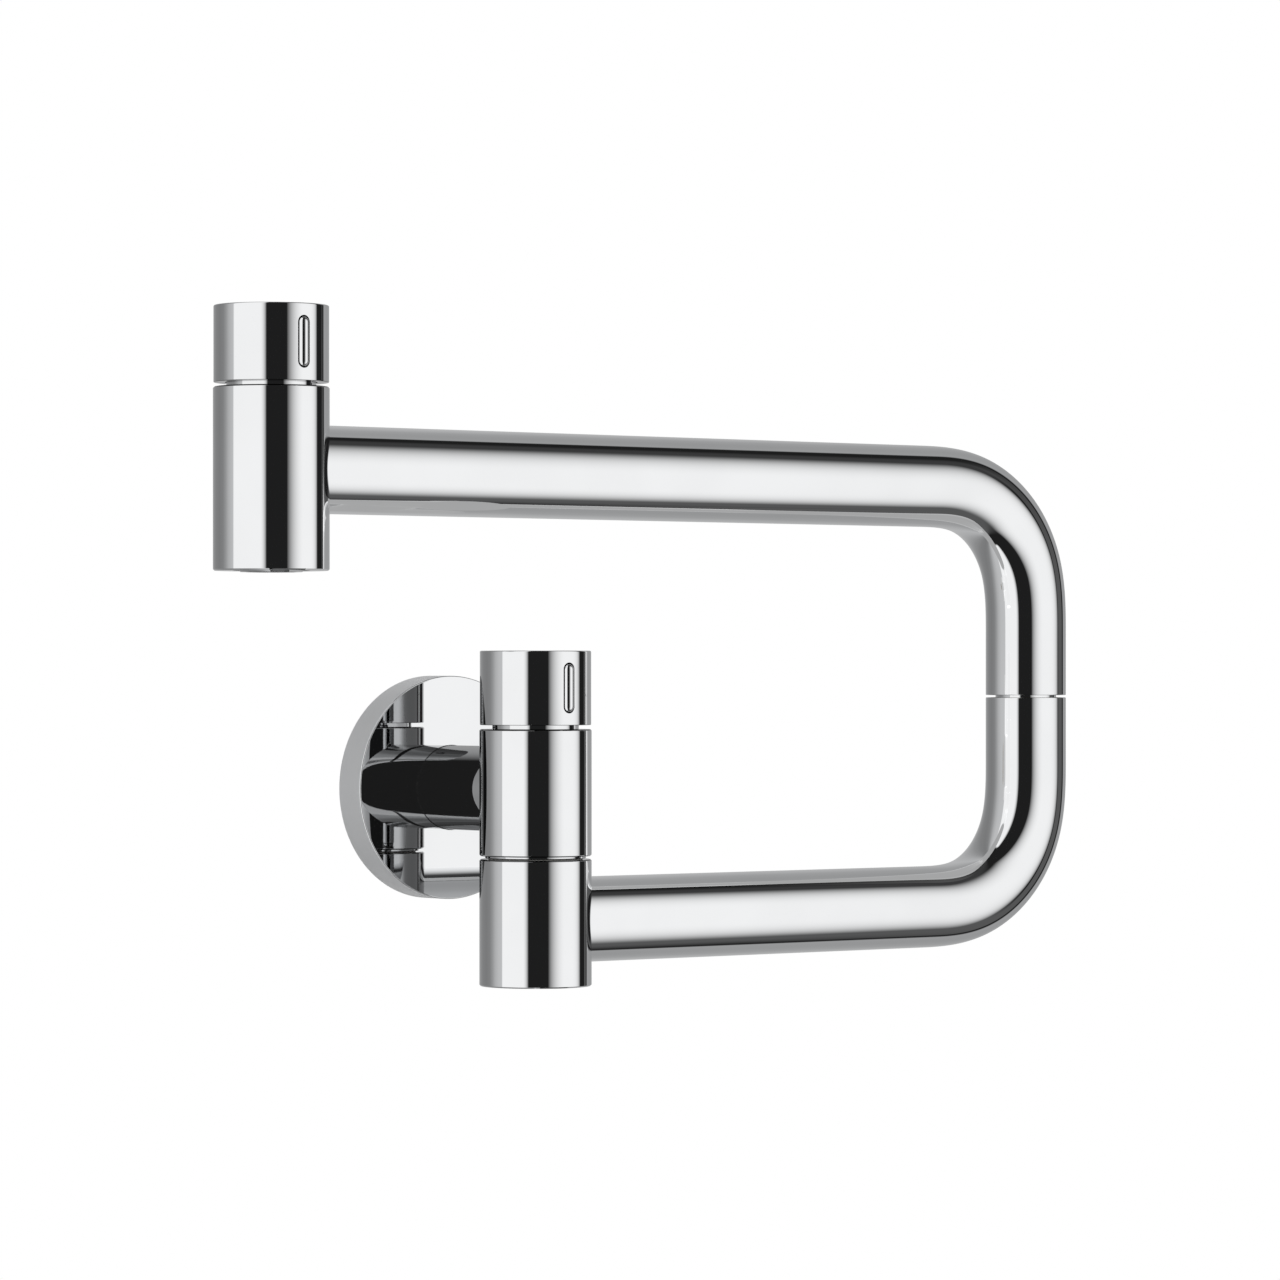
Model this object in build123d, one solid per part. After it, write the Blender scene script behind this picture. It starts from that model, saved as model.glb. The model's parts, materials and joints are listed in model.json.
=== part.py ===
from build123d import *

import math
import os

# Wall-mounted pot filler with two swivelling arms and two quarter-turn valves.
# Origin: centre of the flange on the wall. +X right, +Y into the wall, +Z up. Millimetres.

# Outside forms
FLANGE_DIAMETER = 70.0
FLANGE_DEPTH = 11.2
FLANGE_FACE = 2.5
FLANGE_RIM = 5.0
FLANGE_LIP = 1.0
BODY_DIAMETER = 34.5
HANDLE_INSET = 0.15
HANDLE_HEIGHT = 22.8
HANDLE_WALL = 3.4
TUBE_DIAMETER = 26.4
TUBE_WALL = 1.6
BEND_RADIUS = 36.0
EDGE_BREAK = 0.4

# Places of the axes
VALVE_STANDOFF = 55.0
LOWER_REACH = 203.0
UPPER_REACH = 301.0
ARM_RISE = 136.8
VALVE_HEIGHT = 38.9
VALVE_PORT_RISE = 1.15
OUTLET_HEIGHT = 54.4
OUTLET_PORT_RISE = 6.6

# Gaps that show, and how far the necks in them stand back
HANDLE_GAP = 1.3
HUB_GAP = 1.0
HUB_NECK_INSET = 1.75
JOINT_GAP = 0.75

# Clearances
RUNNING_FIT = 0.05
SEAT_FIT = 0.05
MOVING_GAP = 0.4
STEM_FIT = 0.15

# Seals
RING_SECTION = 2.0
SMALL_RING_SECTION = 1.2
GROOVE_EXTRA = 0.2
GASKET_WIDTH = 2.0
GASKET_THICKNESS = 1.2

# Inlet nipple, stem and strainer
THREAD_DIAMETER = 20.955
THREAD_LENGTH = 14.0
THREAD_LEAD = 1.0
COLLAR_INSET = 1.2
COLLAR_LENGTH = 2.0
SPIGOT_LENGTH = 14.0
NIPPLE_WALL = 1.5
STEM_WALL = 2.65
STEM_SHOULDER = 2.5
STEM_SCREW_INSET = 3.0
STEM_SCREW_BITE = 0.6
STRAINER_THICKNESS = 0.8
STRAINER_HOLE = 1.2
STRAINER_PITCH = 2.4

# Quarter-turn cartridge
CARTRIDGE_THREAD = 20.9
CARTRIDGE_THREAD_LENGTH = 9.0
CARTRIDGE_WEB = 4.0
SHELL_STEP = 1.45
SHELL_WALL = 1.0
SHELL_LIFT = 0.3
CHAMBER_STEP = 1.55
SEAT_DEPTH = 3.0
SEAT_PORT = 11.0
SIDE_PORT = 8.0
WINDOW_WIDTH = 9.0
DISC_THICKNESS = 3.0
DISC_HUB = 2.0
DISC_LAND = 1.4
DISC_PORT_ANGLE = 76.0
SHUT_TURN = 90.0
PADDLE_THICKNESS = 3.0
PADDLE_WIDTH = 5.0
TANG_DEPTH = 1.2
SEAT_SEAL_HEIGHT = 2.4
SEAT_SEAL_WALL = 1.4
SLEEVE_BASE = 1.2
SLEEVE_WALL = 1.0
SLEEVE_HEIGHT = 6.0
HEX_HEIGHT = 4.0
HEX_CLEARANCE = 0.5
NECK_WALL = 2.45
NECK_HEIGHT = 3.5
SPINDLE_DIAMETER = 9.0
SPLINE_STEP = 0.5
SPLINE_LENGTH = 6.0
SPLINE_COUNT = 20
SPLINE_DEPTH = 0.4

# Handle fittings
ADAPTER_WALL = 3.0
ADAPTER_HEIGHT = 9.0
SCREW_DIAMETER = 4.0
SCREW_RECESS = 1.0
SCREW_KEY = 2.0
SCREW_KEY_DEPTH = 2.0
GRIP_DIAMETER = 3.5
GRIP_LENGTH = 14.9
GRIP_GAP = 0.3
GRIP_PROUD = 1.2

# Swivel under the valve body
SWIVEL_DIAMETER = 18.0
SWIVEL_BORE = 11.0
SWIVEL_WEB = 3.4
SWIVEL_CHAMBER_STEP = 3.0
SWIVEL_PORT = 14.0
SWIVEL_LAND = 4.6
CROSS_PORT = 9.0
BUSH_FLANGE = 2.0
BUSH_FLANGE_INSET = 1.0
BUSH_WALL = 2.0
BUSH_LENGTH = 5.7
BUSH_PROUD = 0.3
WASHER_THICKNESS = 1.0
WASHER_WIDTH = 3.5
CLIP_THICKNESS = 1.0
CLIP_DEPTH = 1.0
CLIP_WIDTH = 2.4
CLIP_MOUTH = 6.0
SPINDLE_TAIL = 1.4
CAP_SPACE = 1.3
CAP_SHOULDER = 1.5
CAP_THICKNESS = 3.5

# Elbow swivel
SOCKET_RIM = 1.2
PIN_SHOULDER = 2.6
PIN_BORE = 9.0
COLLAR_DEPTH = 1.0
GLIDE_THICKNESS = 2.5
SOCKET_LENGTH = 24.0
PLUG_LENGTH = 17.0
PIN_RING_INSET = 5.0

# Aerator
AERATOR_DIAMETER = 23.0
AERATOR_HEIGHT = 12.0
AERATOR_RECESS = 0.6
AERATOR_NOSE_STEP = 1.9
AERATOR_PROUD = 0.4
AERATOR_WALL = 3.1
AERATOR_LIP = 1.0
AERATOR_LIP_HEIGHT = 1.2
AERATOR_GASKET = 1.5
KEY_SLOT_COUNT = 8
KEY_SLOT_WIDTH = 1.6
KEY_SLOT_DEPTH = 0.8
INSERT_HEIGHT = 9.6
INSERT_FLOOR = 2.0
INSERT_WALL = 1.0
JET_DIAMETER = 1.6
JET_PITCH = 2.4
SCREEN_THICKNESS = 0.8
SCREEN_HOLE = 1.1
SCREEN_PITCH = 2.2

# Radii that follow from the sizes above
body_r = BODY_DIAMETER / 2
handle_r = body_r - HANDLE_INSET
handle_hollow_r = handle_r - HANDLE_WALL
sleeve_r = handle_hollow_r - MOVING_GAP
tube_r = TUBE_DIAMETER / 2
tube_bore_r = tube_r - TUBE_WALL
spigot_r = tube_r - STEM_WALL - SEAT_FIT
stem_bore_r = spigot_r - STEM_SHOULDER
spigot_floor_r = spigot_r - RING_SECTION - SEAT_FIT
thread_r = CARTRIDGE_THREAD / 2
shell_r = thread_r - SHELL_STEP
disc_r = shell_r - SHELL_WALL - RUNNING_FIT
chamber_r = thread_r + CHAMBER_STEP
spindle_r = SPINDLE_DIAMETER / 2
spline_r = spindle_r - SPLINE_STEP
adapter_r = spline_r + ADAPTER_WALL
swivel_r = SWIVEL_DIAMETER / 2
hub_neck_r = body_r - HUB_NECK_INSET
bush_flange_r = hub_neck_r - BUSH_FLANGE_INSET
bush_r = swivel_r + RUNNING_FIT + BUSH_WALL
washer_r = swivel_r + WASHER_WIDTH
cap_r = washer_r + CAP_SHOULDER
socket_r = tube_bore_r - SEAT_FIT
glide_seat_r = tube_bore_r - SOCKET_RIM
joint_neck_r = glide_seat_r - MOVING_GAP
pin_r = joint_neck_r - PIN_SHOULDER
aerator_r = AERATOR_DIAMETER / 2
aerator_bore_r = aerator_r - AERATOR_WALL

# Heights inside a valve, measured from the top face of its body
disc_ceiling = -CARTRIDGE_THREAD_LENGTH - CARTRIDGE_WEB
paddle_top = disc_ceiling - RUNNING_FIT
turning_top = paddle_top - PADDLE_THICKNESS
fixed_top = turning_top - DISC_THICKNESS - RUNNING_FIT
seal_top = fixed_top - DISC_THICKNESS
seat_floor = seal_top - SEAT_SEAL_HEIGHT
chamber_floor = seat_floor + SEAT_DEPTH
port_height = chamber_floor + SIDE_PORT / 2
hex_top = SLEEVE_BASE + HEX_HEIGHT
neck_top = hex_top + NECK_HEIGHT
spline_top = neck_top + MOVING_GAP + SPLINE_LENGTH
adapter_bottom = neck_top + MOVING_GAP
adapter_top = adapter_bottom + ADAPTER_HEIGHT
handle_top = HANDLE_GAP + HANDLE_HEIGHT
screw_height = (adapter_bottom + adapter_top) / 2
grip_height = (HANDLE_GAP + handle_top) / 2

# Heights of the valve body and of the swivel under it
valve_top = VALVE_PORT_RISE - port_height
valve_bottom = valve_top - VALVE_HEIGHT
swivel_top = valve_top + seat_floor - SWIVEL_WEB
hub_top = valve_bottom - HUB_GAP
bush_top = hub_top + BUSH_PROUD
bush_seat = bush_top - BUSH_FLANGE
upper_land_top = bush_seat - BUSH_LENGTH
swivel_chamber_top = upper_land_top - SWIVEL_LAND
lower_axis = swivel_chamber_top - SWIVEL_PORT / 2
swivel_chamber_bottom = lower_axis - SWIVEL_PORT / 2
lower_land_bottom = swivel_chamber_bottom - SWIVEL_LAND
washer_top = lower_land_bottom - RUNNING_FIT
hub_clip_top = washer_top - WASHER_THICKNESS - SEAT_FIT
swivel_end = hub_clip_top - CLIP_THICKNESS - SPINDLE_TAIL
cap_top = swivel_end - CAP_SPACE
hub_bottom = cap_top - CAP_THICKNESS

# Heights of the elbow, the upper arm and the outlet
upper_axis = lower_axis + ARM_RISE
joint_middle = (lower_axis + upper_axis) / 2
lower_end = joint_middle - JOINT_GAP / 2
upper_end = joint_middle + JOINT_GAP / 2
glide_top = lower_end - COLLAR_DEPTH - RUNNING_FIT
glide_seat = glide_top - GLIDE_THICKNESS
socket_bottom = lower_end - SOCKET_LENGTH
pin_clip_top = socket_bottom - RUNNING_FIT
pin_end = pin_clip_top - CLIP_THICKNESS - SPINDLE_TAIL
outlet_top = upper_axis + OUTLET_PORT_RISE - port_height
outlet_bottom = outlet_top - OUTLET_HEIGHT
aerator_bottom = outlet_bottom + AERATOR_RECESS
aerator_top = aerator_bottom + AERATOR_HEIGHT
aerator_roof = aerator_top + AERATOR_GASKET
nose_bottom = outlet_bottom - AERATOR_PROUD
insert_bottom = nose_bottom + AERATOR_LIP_HEIGHT
insert_top = insert_bottom + INSERT_HEIGHT

# Distances from the wall along the inlet, negative in front of it
stem_back = -COLLAR_LENGTH
spigot_front = stem_back - SPIGOT_LENGTH
strainer_back = spigot_front - SEAT_FIT
socket_front = strainer_back - STRAINER_THICKNESS - SEAT_FIT
stem_screw_place = stem_back - STEM_SCREW_INSET
nipple_ring_place = spigot_front + 2 * RING_SECTION
flange_ring_place = -FLANGE_DEPTH + FLANGE_LIP + (RING_SECTION + GROOVE_EXTRA) / 2

# Frames: the inlet's axis runs along +Y, the others are upright
inlet = Rot(-90, 0, 0)
valve = Pos(0, -VALVE_STANDOFF, 0)
elbow = Pos(LOWER_REACH, -VALVE_STANDOFF, 0)
outlet = Pos(LOWER_REACH - UPPER_REACH, -VALVE_STANDOFF, 0)
DOWN_FROM_INLET = 90
TO_WALL = 90


def rod(radius, low, high):
    """Upright cylinder between two heights."""
    return Pos(0, 0, low) * Cylinder(radius, high - low, align=(Align.CENTER, Align.CENTER, Align.MIN))


def ring(outer, inner, low, high):
    """Upright ring of plain rectangular section."""
    return rod(outer, low, high) - rod(inner, low, high)


def eased_rod(radius, low, high, ease_low, ease_high):
    """Upright cylinder whose rims are broken by chamfers of the given widths."""
    outline = [(0, low), (radius - ease_low, low)]
    if ease_low:
        outline.append((radius, low + ease_low))
    outline.append((radius, high - ease_high))
    if ease_high:
        outline.append((radius - ease_high, high))
    outline.append((0, high))
    return revolve(Plane.XZ * make_face(Polyline(*outline, close=True)), Axis.Z)


def hex_bar(flats, low, high):
    """Upright hexagonal bar of a given width across its flats."""
    return Pos(0, 0, low) * extrude(RegularPolygon(flats / 2, 6, major_radius=False), high - low)


def radial_pin(diameter, start, end, height, turn):
    """Level cylinder between two distances from the axis; turn 0 points along +X."""
    pin = Rot(0, 90, 0) * Cylinder(diameter / 2, end - start, align=(Align.CENTER, Align.CENTER, Align.MIN))
    return Rot(0, 0, turn) * Pos(start, 0, height) * pin


def o_ring(floor_radius, section, height):
    """Rubber ring standing a seat fit off the round floor that it lies on."""
    return Pos(0, 0, height) * Torus(floor_radius + SEAT_FIT + section / 2, section / 2)


def ring_groove(surface_radius, section, height):
    """Cut in a shaft that takes an O-ring level with the shaft's surface."""
    half = (section + GROOVE_EXTRA) / 2
    return ring(surface_radius + section, surface_radius - section - SEAT_FIT, height - half, height + half)


def seated_ring(surface_radius, section, height):
    """O-ring for the groove of the same size."""
    return o_ring(surface_radius - section - SEAT_FIT, section, height)


def circlip(shaft_radius, top):
    """Open spring ring that sits in a groove of a shaft and stands out of it."""
    inner = shaft_radius - CLIP_DEPTH + SEAT_FIT
    clip = ring(inner + CLIP_WIDTH, inner, top - CLIP_THICKNESS, top)
    mouth = Box(2 * CLIP_WIDTH, CLIP_MOUTH, 3 * CLIP_THICKNESS)
    return clip - Pos(inner + CLIP_WIDTH / 2, 0, top) * mouth


def clip_groove(shaft_radius, top):
    """Cut for the spring ring, a seat fit wider than the ring at each side."""
    return ring(
        shaft_radius + CLIP_WIDTH,
        shaft_radius - CLIP_DEPTH,
        top - CLIP_THICKNESS - SEAT_FIT,
        top + SEAT_FIT,
    )


def grub_screw(start, end, height, turn):
    """Headless screw along a radius, with a hexagon socket at its outer end."""
    shank = radial_pin(SCREW_DIAMETER - 2 * SEAT_FIT, start, end, height, turn)
    key = Rot(0, -90, 0) * extrude(RegularPolygon(SCREW_KEY / 2, 6, major_radius=False), SCREW_KEY_DEPTH)
    return shank - Rot(0, 0, turn) * Pos(end, 0, height) * key


def honeycomb(diameter, pitch, reach, low, high):
    """Round pins on a triangular grid, as many as stay inside the reach."""
    count = 2 * math.ceil(reach / pitch) + 3
    pins = []
    for place in HexLocations(pitch / 2, count, count):
        if place.position.length + diameter / 2 < reach:
            pins.append(place * rod(diameter / 2, low, high))
    return pins


# Wall connection


def gasket_ring(fit):
    """Ring in the middle of the flange's rim; fit is left free round it."""
    middle = (FLANGE_DIAMETER - FLANGE_RIM) / 2
    half = GASKET_WIDTH / 2 - fit
    return ring(middle + half, middle - half, fit - GASKET_THICKNESS, 0)


def wall_flange():
    """Round rosette: a cup open to the wall, with a boss that holds the O-ring."""
    half = (RING_SECTION + GROOVE_EXTRA) / 2
    boss_r = tube_r + STEM_FIT + 2 * RING_SECTION
    shape = eased_rod(FLANGE_DIAMETER / 2, -FLANGE_DEPTH, 0, EDGE_BREAK, 0)
    shape -= rod(FLANGE_DIAMETER / 2 - FLANGE_RIM, FLANGE_FACE - FLANGE_DEPTH, 0)
    shape += rod(boss_r, -FLANGE_DEPTH, flange_ring_place + RING_SECTION)
    shape -= rod(tube_r + STEM_FIT, -FLANGE_DEPTH, 0)
    shape -= rod(tube_r + RING_SECTION + 2 * SEAT_FIT, flange_ring_place - half, flange_ring_place + half)
    return shape - gasket_ring(0)


def inlet_nipple():
    """Male thread into the wall, collar, and spigot into the stem, with a key bore."""
    bite_r = spigot_r - STEM_SCREW_BITE
    key_flats = 2 * (spigot_floor_r - NIPPLE_WALL) * math.cos(math.pi / 6)
    half = SCREW_DIAMETER / 2
    shape = eased_rod(THREAD_DIAMETER / 2, 0, THREAD_LENGTH, 0, THREAD_LEAD)
    shape += rod(tube_r - COLLAR_INSET, stem_back, 0)
    shape += eased_rod(spigot_r, spigot_front, stem_back, EDGE_BREAK, 0)
    shape -= ring_groove(spigot_r, RING_SECTION, nipple_ring_place)
    shape -= ring(tube_r, bite_r, stem_screw_place - half, stem_screw_place + half)
    return shape - hex_bar(key_flats, spigot_front, THREAD_LENGTH)


def connecting_stem():
    """Bored bar from the flange to the valve body, coped to the body's round side."""
    shape = ring(tube_r, stem_bore_r, -VALVE_STANDOFF, stem_back)
    shape -= rod(spigot_r + SEAT_FIT, socket_front, stem_back)
    shape -= radial_pin(SCREW_DIAMETER, 0, 2 * tube_r, stem_screw_place, DOWN_FROM_INLET)
    return inlet * shape - valve * rod(body_r, -TUBE_DIAMETER, TUBE_DIAMETER)


def inlet_strainer():
    """Perforated disc between the nipple's end and the shoulder in the stem."""
    low = strainer_back - STRAINER_THICKNESS
    disc = rod(spigot_r, low, strainer_back)
    return disc - honeycomb(STRAINER_HOLE, STRAINER_PITCH, stem_bore_r, low, strainer_back)


# Quarter-turn valve: everything here stands on the top face of a valve body at height 0


def valve_cavity():
    """Stepped bore of a valve body: thread, water chamber and seat."""
    shape = rod(thread_r + SEAT_FIT, -CARTRIDGE_THREAD_LENGTH, 0)
    shape += rod(chamber_r, chamber_floor, -CARTRIDGE_THREAD_LENGTH)
    return shape + rod(shell_r + SEAT_FIT, seat_floor, chamber_floor)


def cartridge_body():
    """Threaded brass body with hexagon, neck and a windowed shell round the discs."""
    hex_flats = 2 * (sleeve_r - SLEEVE_WALL - HEX_CLEARANCE) * math.cos(math.pi / 6)
    window = Box(WINDOW_WIDTH, 4 * shell_r, PADDLE_THICKNESS)
    shape = rod(shell_r, seat_floor + SHELL_LIFT, -CARTRIDGE_THREAD_LENGTH)
    shape += rod(thread_r, -CARTRIDGE_THREAD_LENGTH, SLEEVE_BASE)
    shape += hex_bar(hex_flats, SLEEVE_BASE, hex_top)
    shape += rod(spindle_r + RUNNING_FIT + NECK_WALL, hex_top, neck_top)
    shape -= rod(spindle_r + RUNNING_FIT, disc_ceiling, neck_top)
    shape -= rod(shell_r - SHELL_WALL, seat_floor, disc_ceiling)
    return shape - Pos(0, 0, paddle_top - PADDLE_THICKNESS / 2) * window


def cartridge_sleeve():
    """Bright ring clamped under the hexagon, seen as the neck below the handle."""
    shape = ring(sleeve_r, thread_r + SEAT_FIT, 0, SLEEVE_BASE)
    return shape + ring(sleeve_r, sleeve_r - SLEEVE_WALL, SLEEVE_BASE, SLEEVE_HEIGHT)


def spline(radius, low, high):
    """Splined stub: round bar with evenly spaced grooves."""
    section = Circle(radius)
    section -= PolarLocations(radius, SPLINE_COUNT) * Circle(SPLINE_DEPTH)
    return Pos(0, 0, low) * extrude(section, high - low)


def cartridge_spindle():
    """Spindle with a spline for the handle and a paddle that turns the upper disc."""
    paddle_height = PADDLE_THICKNESS + TANG_DEPTH
    paddle = Box(2 * disc_r, PADDLE_WIDTH, paddle_height, align=(Align.CENTER, Align.CENTER, Align.MAX))
    shape = rod(spindle_r, paddle_top - PADDLE_THICKNESS, adapter_bottom)
    shape += spline(spline_r, adapter_bottom, spline_top)
    shape += Pos(0, 0, paddle_top) * paddle & rod(disc_r, paddle_top - paddle_height, spline_top)
    return shape - ring_groove(spindle_r, SMALL_RING_SECTION, 0)


def ported_disc(top, turn):
    """Ceramic disc with two facing sector ports; turn points the first port."""
    outer = disc_r - DISC_LAND
    sector = Cylinder(outer, DISC_THICKNESS, DISC_PORT_ANGLE, align=(Align.NONE, Align.NONE, Align.MAX))
    disc = rod(disc_r, top - DISC_THICKNESS, top)
    for side in (0, 180):
        port = Rot(0, 0, turn + side - DISC_PORT_ANGLE / 2) * sector
        disc -= Pos(0, 0, top) * port - rod(DISC_HUB, top - DISC_THICKNESS, top)
    return disc


def turning_disc():
    """Upper disc, keyed to the spindle's tang by a slot."""
    slot_depth = TANG_DEPTH + SEAT_FIT
    slot = Box(4 * disc_r, PADDLE_WIDTH + 2 * SEAT_FIT, 2 * slot_depth)
    return ported_disc(turning_top, SHUT_TURN) - Pos(0, 0, turning_top) * slot


def handle_shell():
    """Hollow round handle, bored for its adapter, with a pocket for the grip bar."""
    pocket = SlotOverall(GRIP_LENGTH + 2 * GRIP_GAP, GRIP_DIAMETER + 2 * GRIP_GAP, rotation=90)
    pocket_depth = GRIP_DIAMETER - GRIP_PROUD + SEAT_FIT
    front = Plane((0, -handle_r + pocket_depth, grip_height), x_dir=(1, 0, 0), z_dir=(0, -1, 0))
    shape = eased_rod(handle_r, HANDLE_GAP, handle_top, EDGE_BREAK, EDGE_BREAK)
    shape -= rod(handle_hollow_r, HANDLE_GAP, adapter_bottom)
    shape -= rod(adapter_r + SEAT_FIT, adapter_bottom, adapter_top + SEAT_FIT)
    shape -= radial_pin(SCREW_DIAMETER, 0, 2 * handle_r, screw_height, TO_WALL)
    return shape - extrude(front * pocket, handle_r)


def grip_bar():
    """Round-ended bar that lies in the handle's pocket and stands proud of it."""
    radius = GRIP_DIAMETER / 2
    half = GRIP_LENGTH / 2 - radius
    bar = Cylinder(radius, 2 * half) + Pos(0, 0, half) * Sphere(radius) + Pos(0, 0, -half) * Sphere(radius)
    return Pos(0, radius - handle_r - GRIP_PROUD, grip_height) * bar


def handle_adapter():
    """Plug in the handle with a splined hole for the spindle."""
    return rod(adapter_r, adapter_bottom, adapter_top) - spline(
        spline_r + SEAT_FIT, adapter_bottom, spline_top + SEAT_FIT
    )


def valve_pieces(prefix, place):
    """All pieces of one quarter-turn valve, set on the body whose top face is the place."""
    screw_start = adapter_r + 2 * SEAT_FIT
    pieces = {
        "cartridge_body": cartridge_body(),
        "cartridge_sleeve": cartridge_sleeve(),
        "cartridge_spindle": cartridge_spindle(),
        "spindle_o_ring": seated_ring(spindle_r, SMALL_RING_SECTION, 0),
        "turning_disc": turning_disc(),
        "fixed_disc": ported_disc(fixed_top, 0),
        "seat_seal": ring(disc_r, disc_r - SEAT_SEAL_WALL, seat_floor, seal_top),
        "handle": handle_shell(),
        "handle_grip": grip_bar(),
        "handle_adapter": handle_adapter(),
        "handle_screw": grub_screw(screw_start, handle_r - SCREW_RECESS, screw_height, TO_WALL),
    }
    for name, shape in pieces.items():
        parts[prefix + "_" + name] = place * shape


# Valve body and the swivel under it


def valve_body():
    """Round body: valve bore from above, inlet from the wall, swivel thread from below."""
    shape = eased_rod(body_r, valve_bottom, valve_top, EDGE_BREAK, EDGE_BREAK)
    shape += rod(hub_neck_r, bush_top + RUNNING_FIT, valve_bottom + EDGE_BREAK)
    shape -= Pos(0, 0, valve_top) * valve_cavity()
    shape -= radial_pin(SIDE_PORT, chamber_r / 2, 2 * body_r, VALVE_PORT_RISE, TO_WALL)
    shape -= rod(SEAT_PORT / 2, swivel_top, valve_top + seat_floor)
    return shape - rod(swivel_r + SEAT_FIT, bush_top, swivel_top)


def swivel_spindle():
    """Hollow spindle screwed into the body, with cross ports at the arm's height."""
    shape = rod(swivel_r, swivel_end, swivel_top)
    shape -= rod(SWIVEL_BORE / 2, swivel_chamber_bottom, swivel_top)
    for turn in (0, 90):
        shape -= radial_pin(CROSS_PORT, -2 * swivel_r, 2 * swivel_r, lower_axis, turn)
    for height in swivel_ring_heights:
        shape -= ring_groove(swivel_r, RING_SECTION, height)
    return shape - clip_groove(swivel_r, hub_clip_top)


def lower_hub():
    """Hub that turns on the spindle, with bush seat, water chamber and bottom opening."""
    shape = eased_rod(body_r, hub_bottom, hub_top, EDGE_BREAK, EDGE_BREAK)
    shape -= rod(swivel_r + RUNNING_FIT, hub_bottom, hub_top)
    shape -= rod(bush_flange_r + SEAT_FIT, bush_seat, hub_top)
    shape -= rod(bush_r + SEAT_FIT, upper_land_top, hub_top)
    shape -= rod(swivel_r + SWIVEL_CHAMBER_STEP, swivel_chamber_bottom, swivel_chamber_top)
    shape -= rod(washer_r + MOVING_GAP, hub_bottom, lower_land_bottom)
    shape -= rod(cap_r + SEAT_FIT, hub_bottom, cap_top)
    return shape - radial_pin(SWIVEL_PORT, swivel_r, 2 * body_r, lower_axis, 0)


def hub_bush():
    """Flanged plastic bush in the top of the hub."""
    bore_r = swivel_r + RUNNING_FIT
    return ring(bush_flange_r, bore_r, bush_seat, bush_top) + ring(bush_r, bore_r, upper_land_top, bush_seat)


def hub_cap():
    """Plug that closes the hub from below, with a ring groove round it."""
    shape = eased_rod(cap_r, hub_bottom, cap_top, EDGE_BREAK, 0)
    return shape - ring_groove(cap_r, SMALL_RING_SECTION, cap_ring_height)


# Arms and the elbow swivel


def bent_tube(*corners):
    """Round tube along straight runs in the arms' plane, joined by a bend."""
    points = [(x, -VALVE_STANDOFF, z) for x, z in corners]
    path = FilletPolyline(*points, radius=BEND_RADIUS)
    start = Plane(origin=path @ 0, z_dir=path % 0)
    return sweep(start * Circle(tube_r), path) - sweep(start * Circle(tube_bore_r), path)


def eased_end(tube, height):
    """Tube with the outer rim of its level end broken."""
    rims = [e for e in tube.edges().filter_by(GeomType.CIRCLE) if abs(e.center().Z - height) < SEAT_FIT]
    return chamfer(max(rims, key=lambda edge: edge.radius), EDGE_BREAK / 2)


def lower_arm_tube():
    """Tube from the hub out to the right and up to the elbow joint."""
    tube = bent_tube((0, lower_axis), (LOWER_REACH, lower_axis), (LOWER_REACH, lower_end))
    return eased_end(tube, lower_end) - valve * rod(body_r, hub_bottom, hub_top)


def upper_arm_tube():
    """Tube from the elbow joint up and back to the left to the outlet body."""
    end_x = LOWER_REACH - UPPER_REACH
    tube = bent_tube((LOWER_REACH, upper_end), (LOWER_REACH, upper_axis), (end_x, upper_axis))
    return eased_end(tube, upper_end) - outlet * rod(body_r, outlet_bottom, outlet_top)


def joint_socket():
    """Sleeve in the lower tube's end that carries the elbow spindle."""
    shape = ring(socket_r, pin_r + RUNNING_FIT, socket_bottom, lower_end)
    return shape - rod(glide_seat_r, glide_seat, lower_end)


def joint_spindle():
    """Hollow spindle in the upper tube's end: plug, collar and grooved pin."""
    shape = rod(pin_r, pin_end, upper_end)
    shape += rod(joint_neck_r, lower_end - COLLAR_DEPTH, upper_end)
    shape += rod(socket_r, upper_end, upper_end + PLUG_LENGTH)
    shape -= rod(PIN_BORE / 2, pin_end, upper_end + PLUG_LENGTH)
    for height in pin_ring_heights:
        shape -= ring_groove(pin_r, RING_SECTION, height)
    return shape - clip_groove(pin_r, pin_clip_top)


# Outlet


def outlet_body():
    """Round body: valve bore from above, side port from the arm, aerator seat below."""
    shape = eased_rod(body_r, outlet_bottom, outlet_top, EDGE_BREAK, EDGE_BREAK)
    shape -= Pos(0, 0, outlet_top) * valve_cavity()
    shape -= radial_pin(SIDE_PORT, chamber_r / 2, 2 * body_r, upper_axis + OUTLET_PORT_RISE, 0)
    shape -= rod(SEAT_PORT / 2, aerator_roof, outlet_top + seat_floor)
    return shape - rod(aerator_r + SEAT_FIT, outlet_bottom, aerator_roof)


def aerator_housing():
    """Threaded ring with a nose that shows under the outlet and a lip, slotted for its key."""
    nose_r = aerator_r - AERATOR_NOSE_STEP
    lip_r = aerator_bore_r - AERATOR_LIP
    slot = Pos(lip_r, 0, nose_bottom) * Box(AERATOR_LIP, KEY_SLOT_WIDTH, 2 * KEY_SLOT_DEPTH)
    shape = rod(aerator_r, aerator_bottom, aerator_top)
    shape += eased_rod(nose_r, nose_bottom, aerator_bottom, EDGE_BREAK, 0)
    shape -= rod(aerator_bore_r, insert_bottom, aerator_top)
    shape -= rod(lip_r, nose_bottom, insert_bottom)
    return shape - PolarLocations(0, KEY_SLOT_COUNT) * slot


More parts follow.
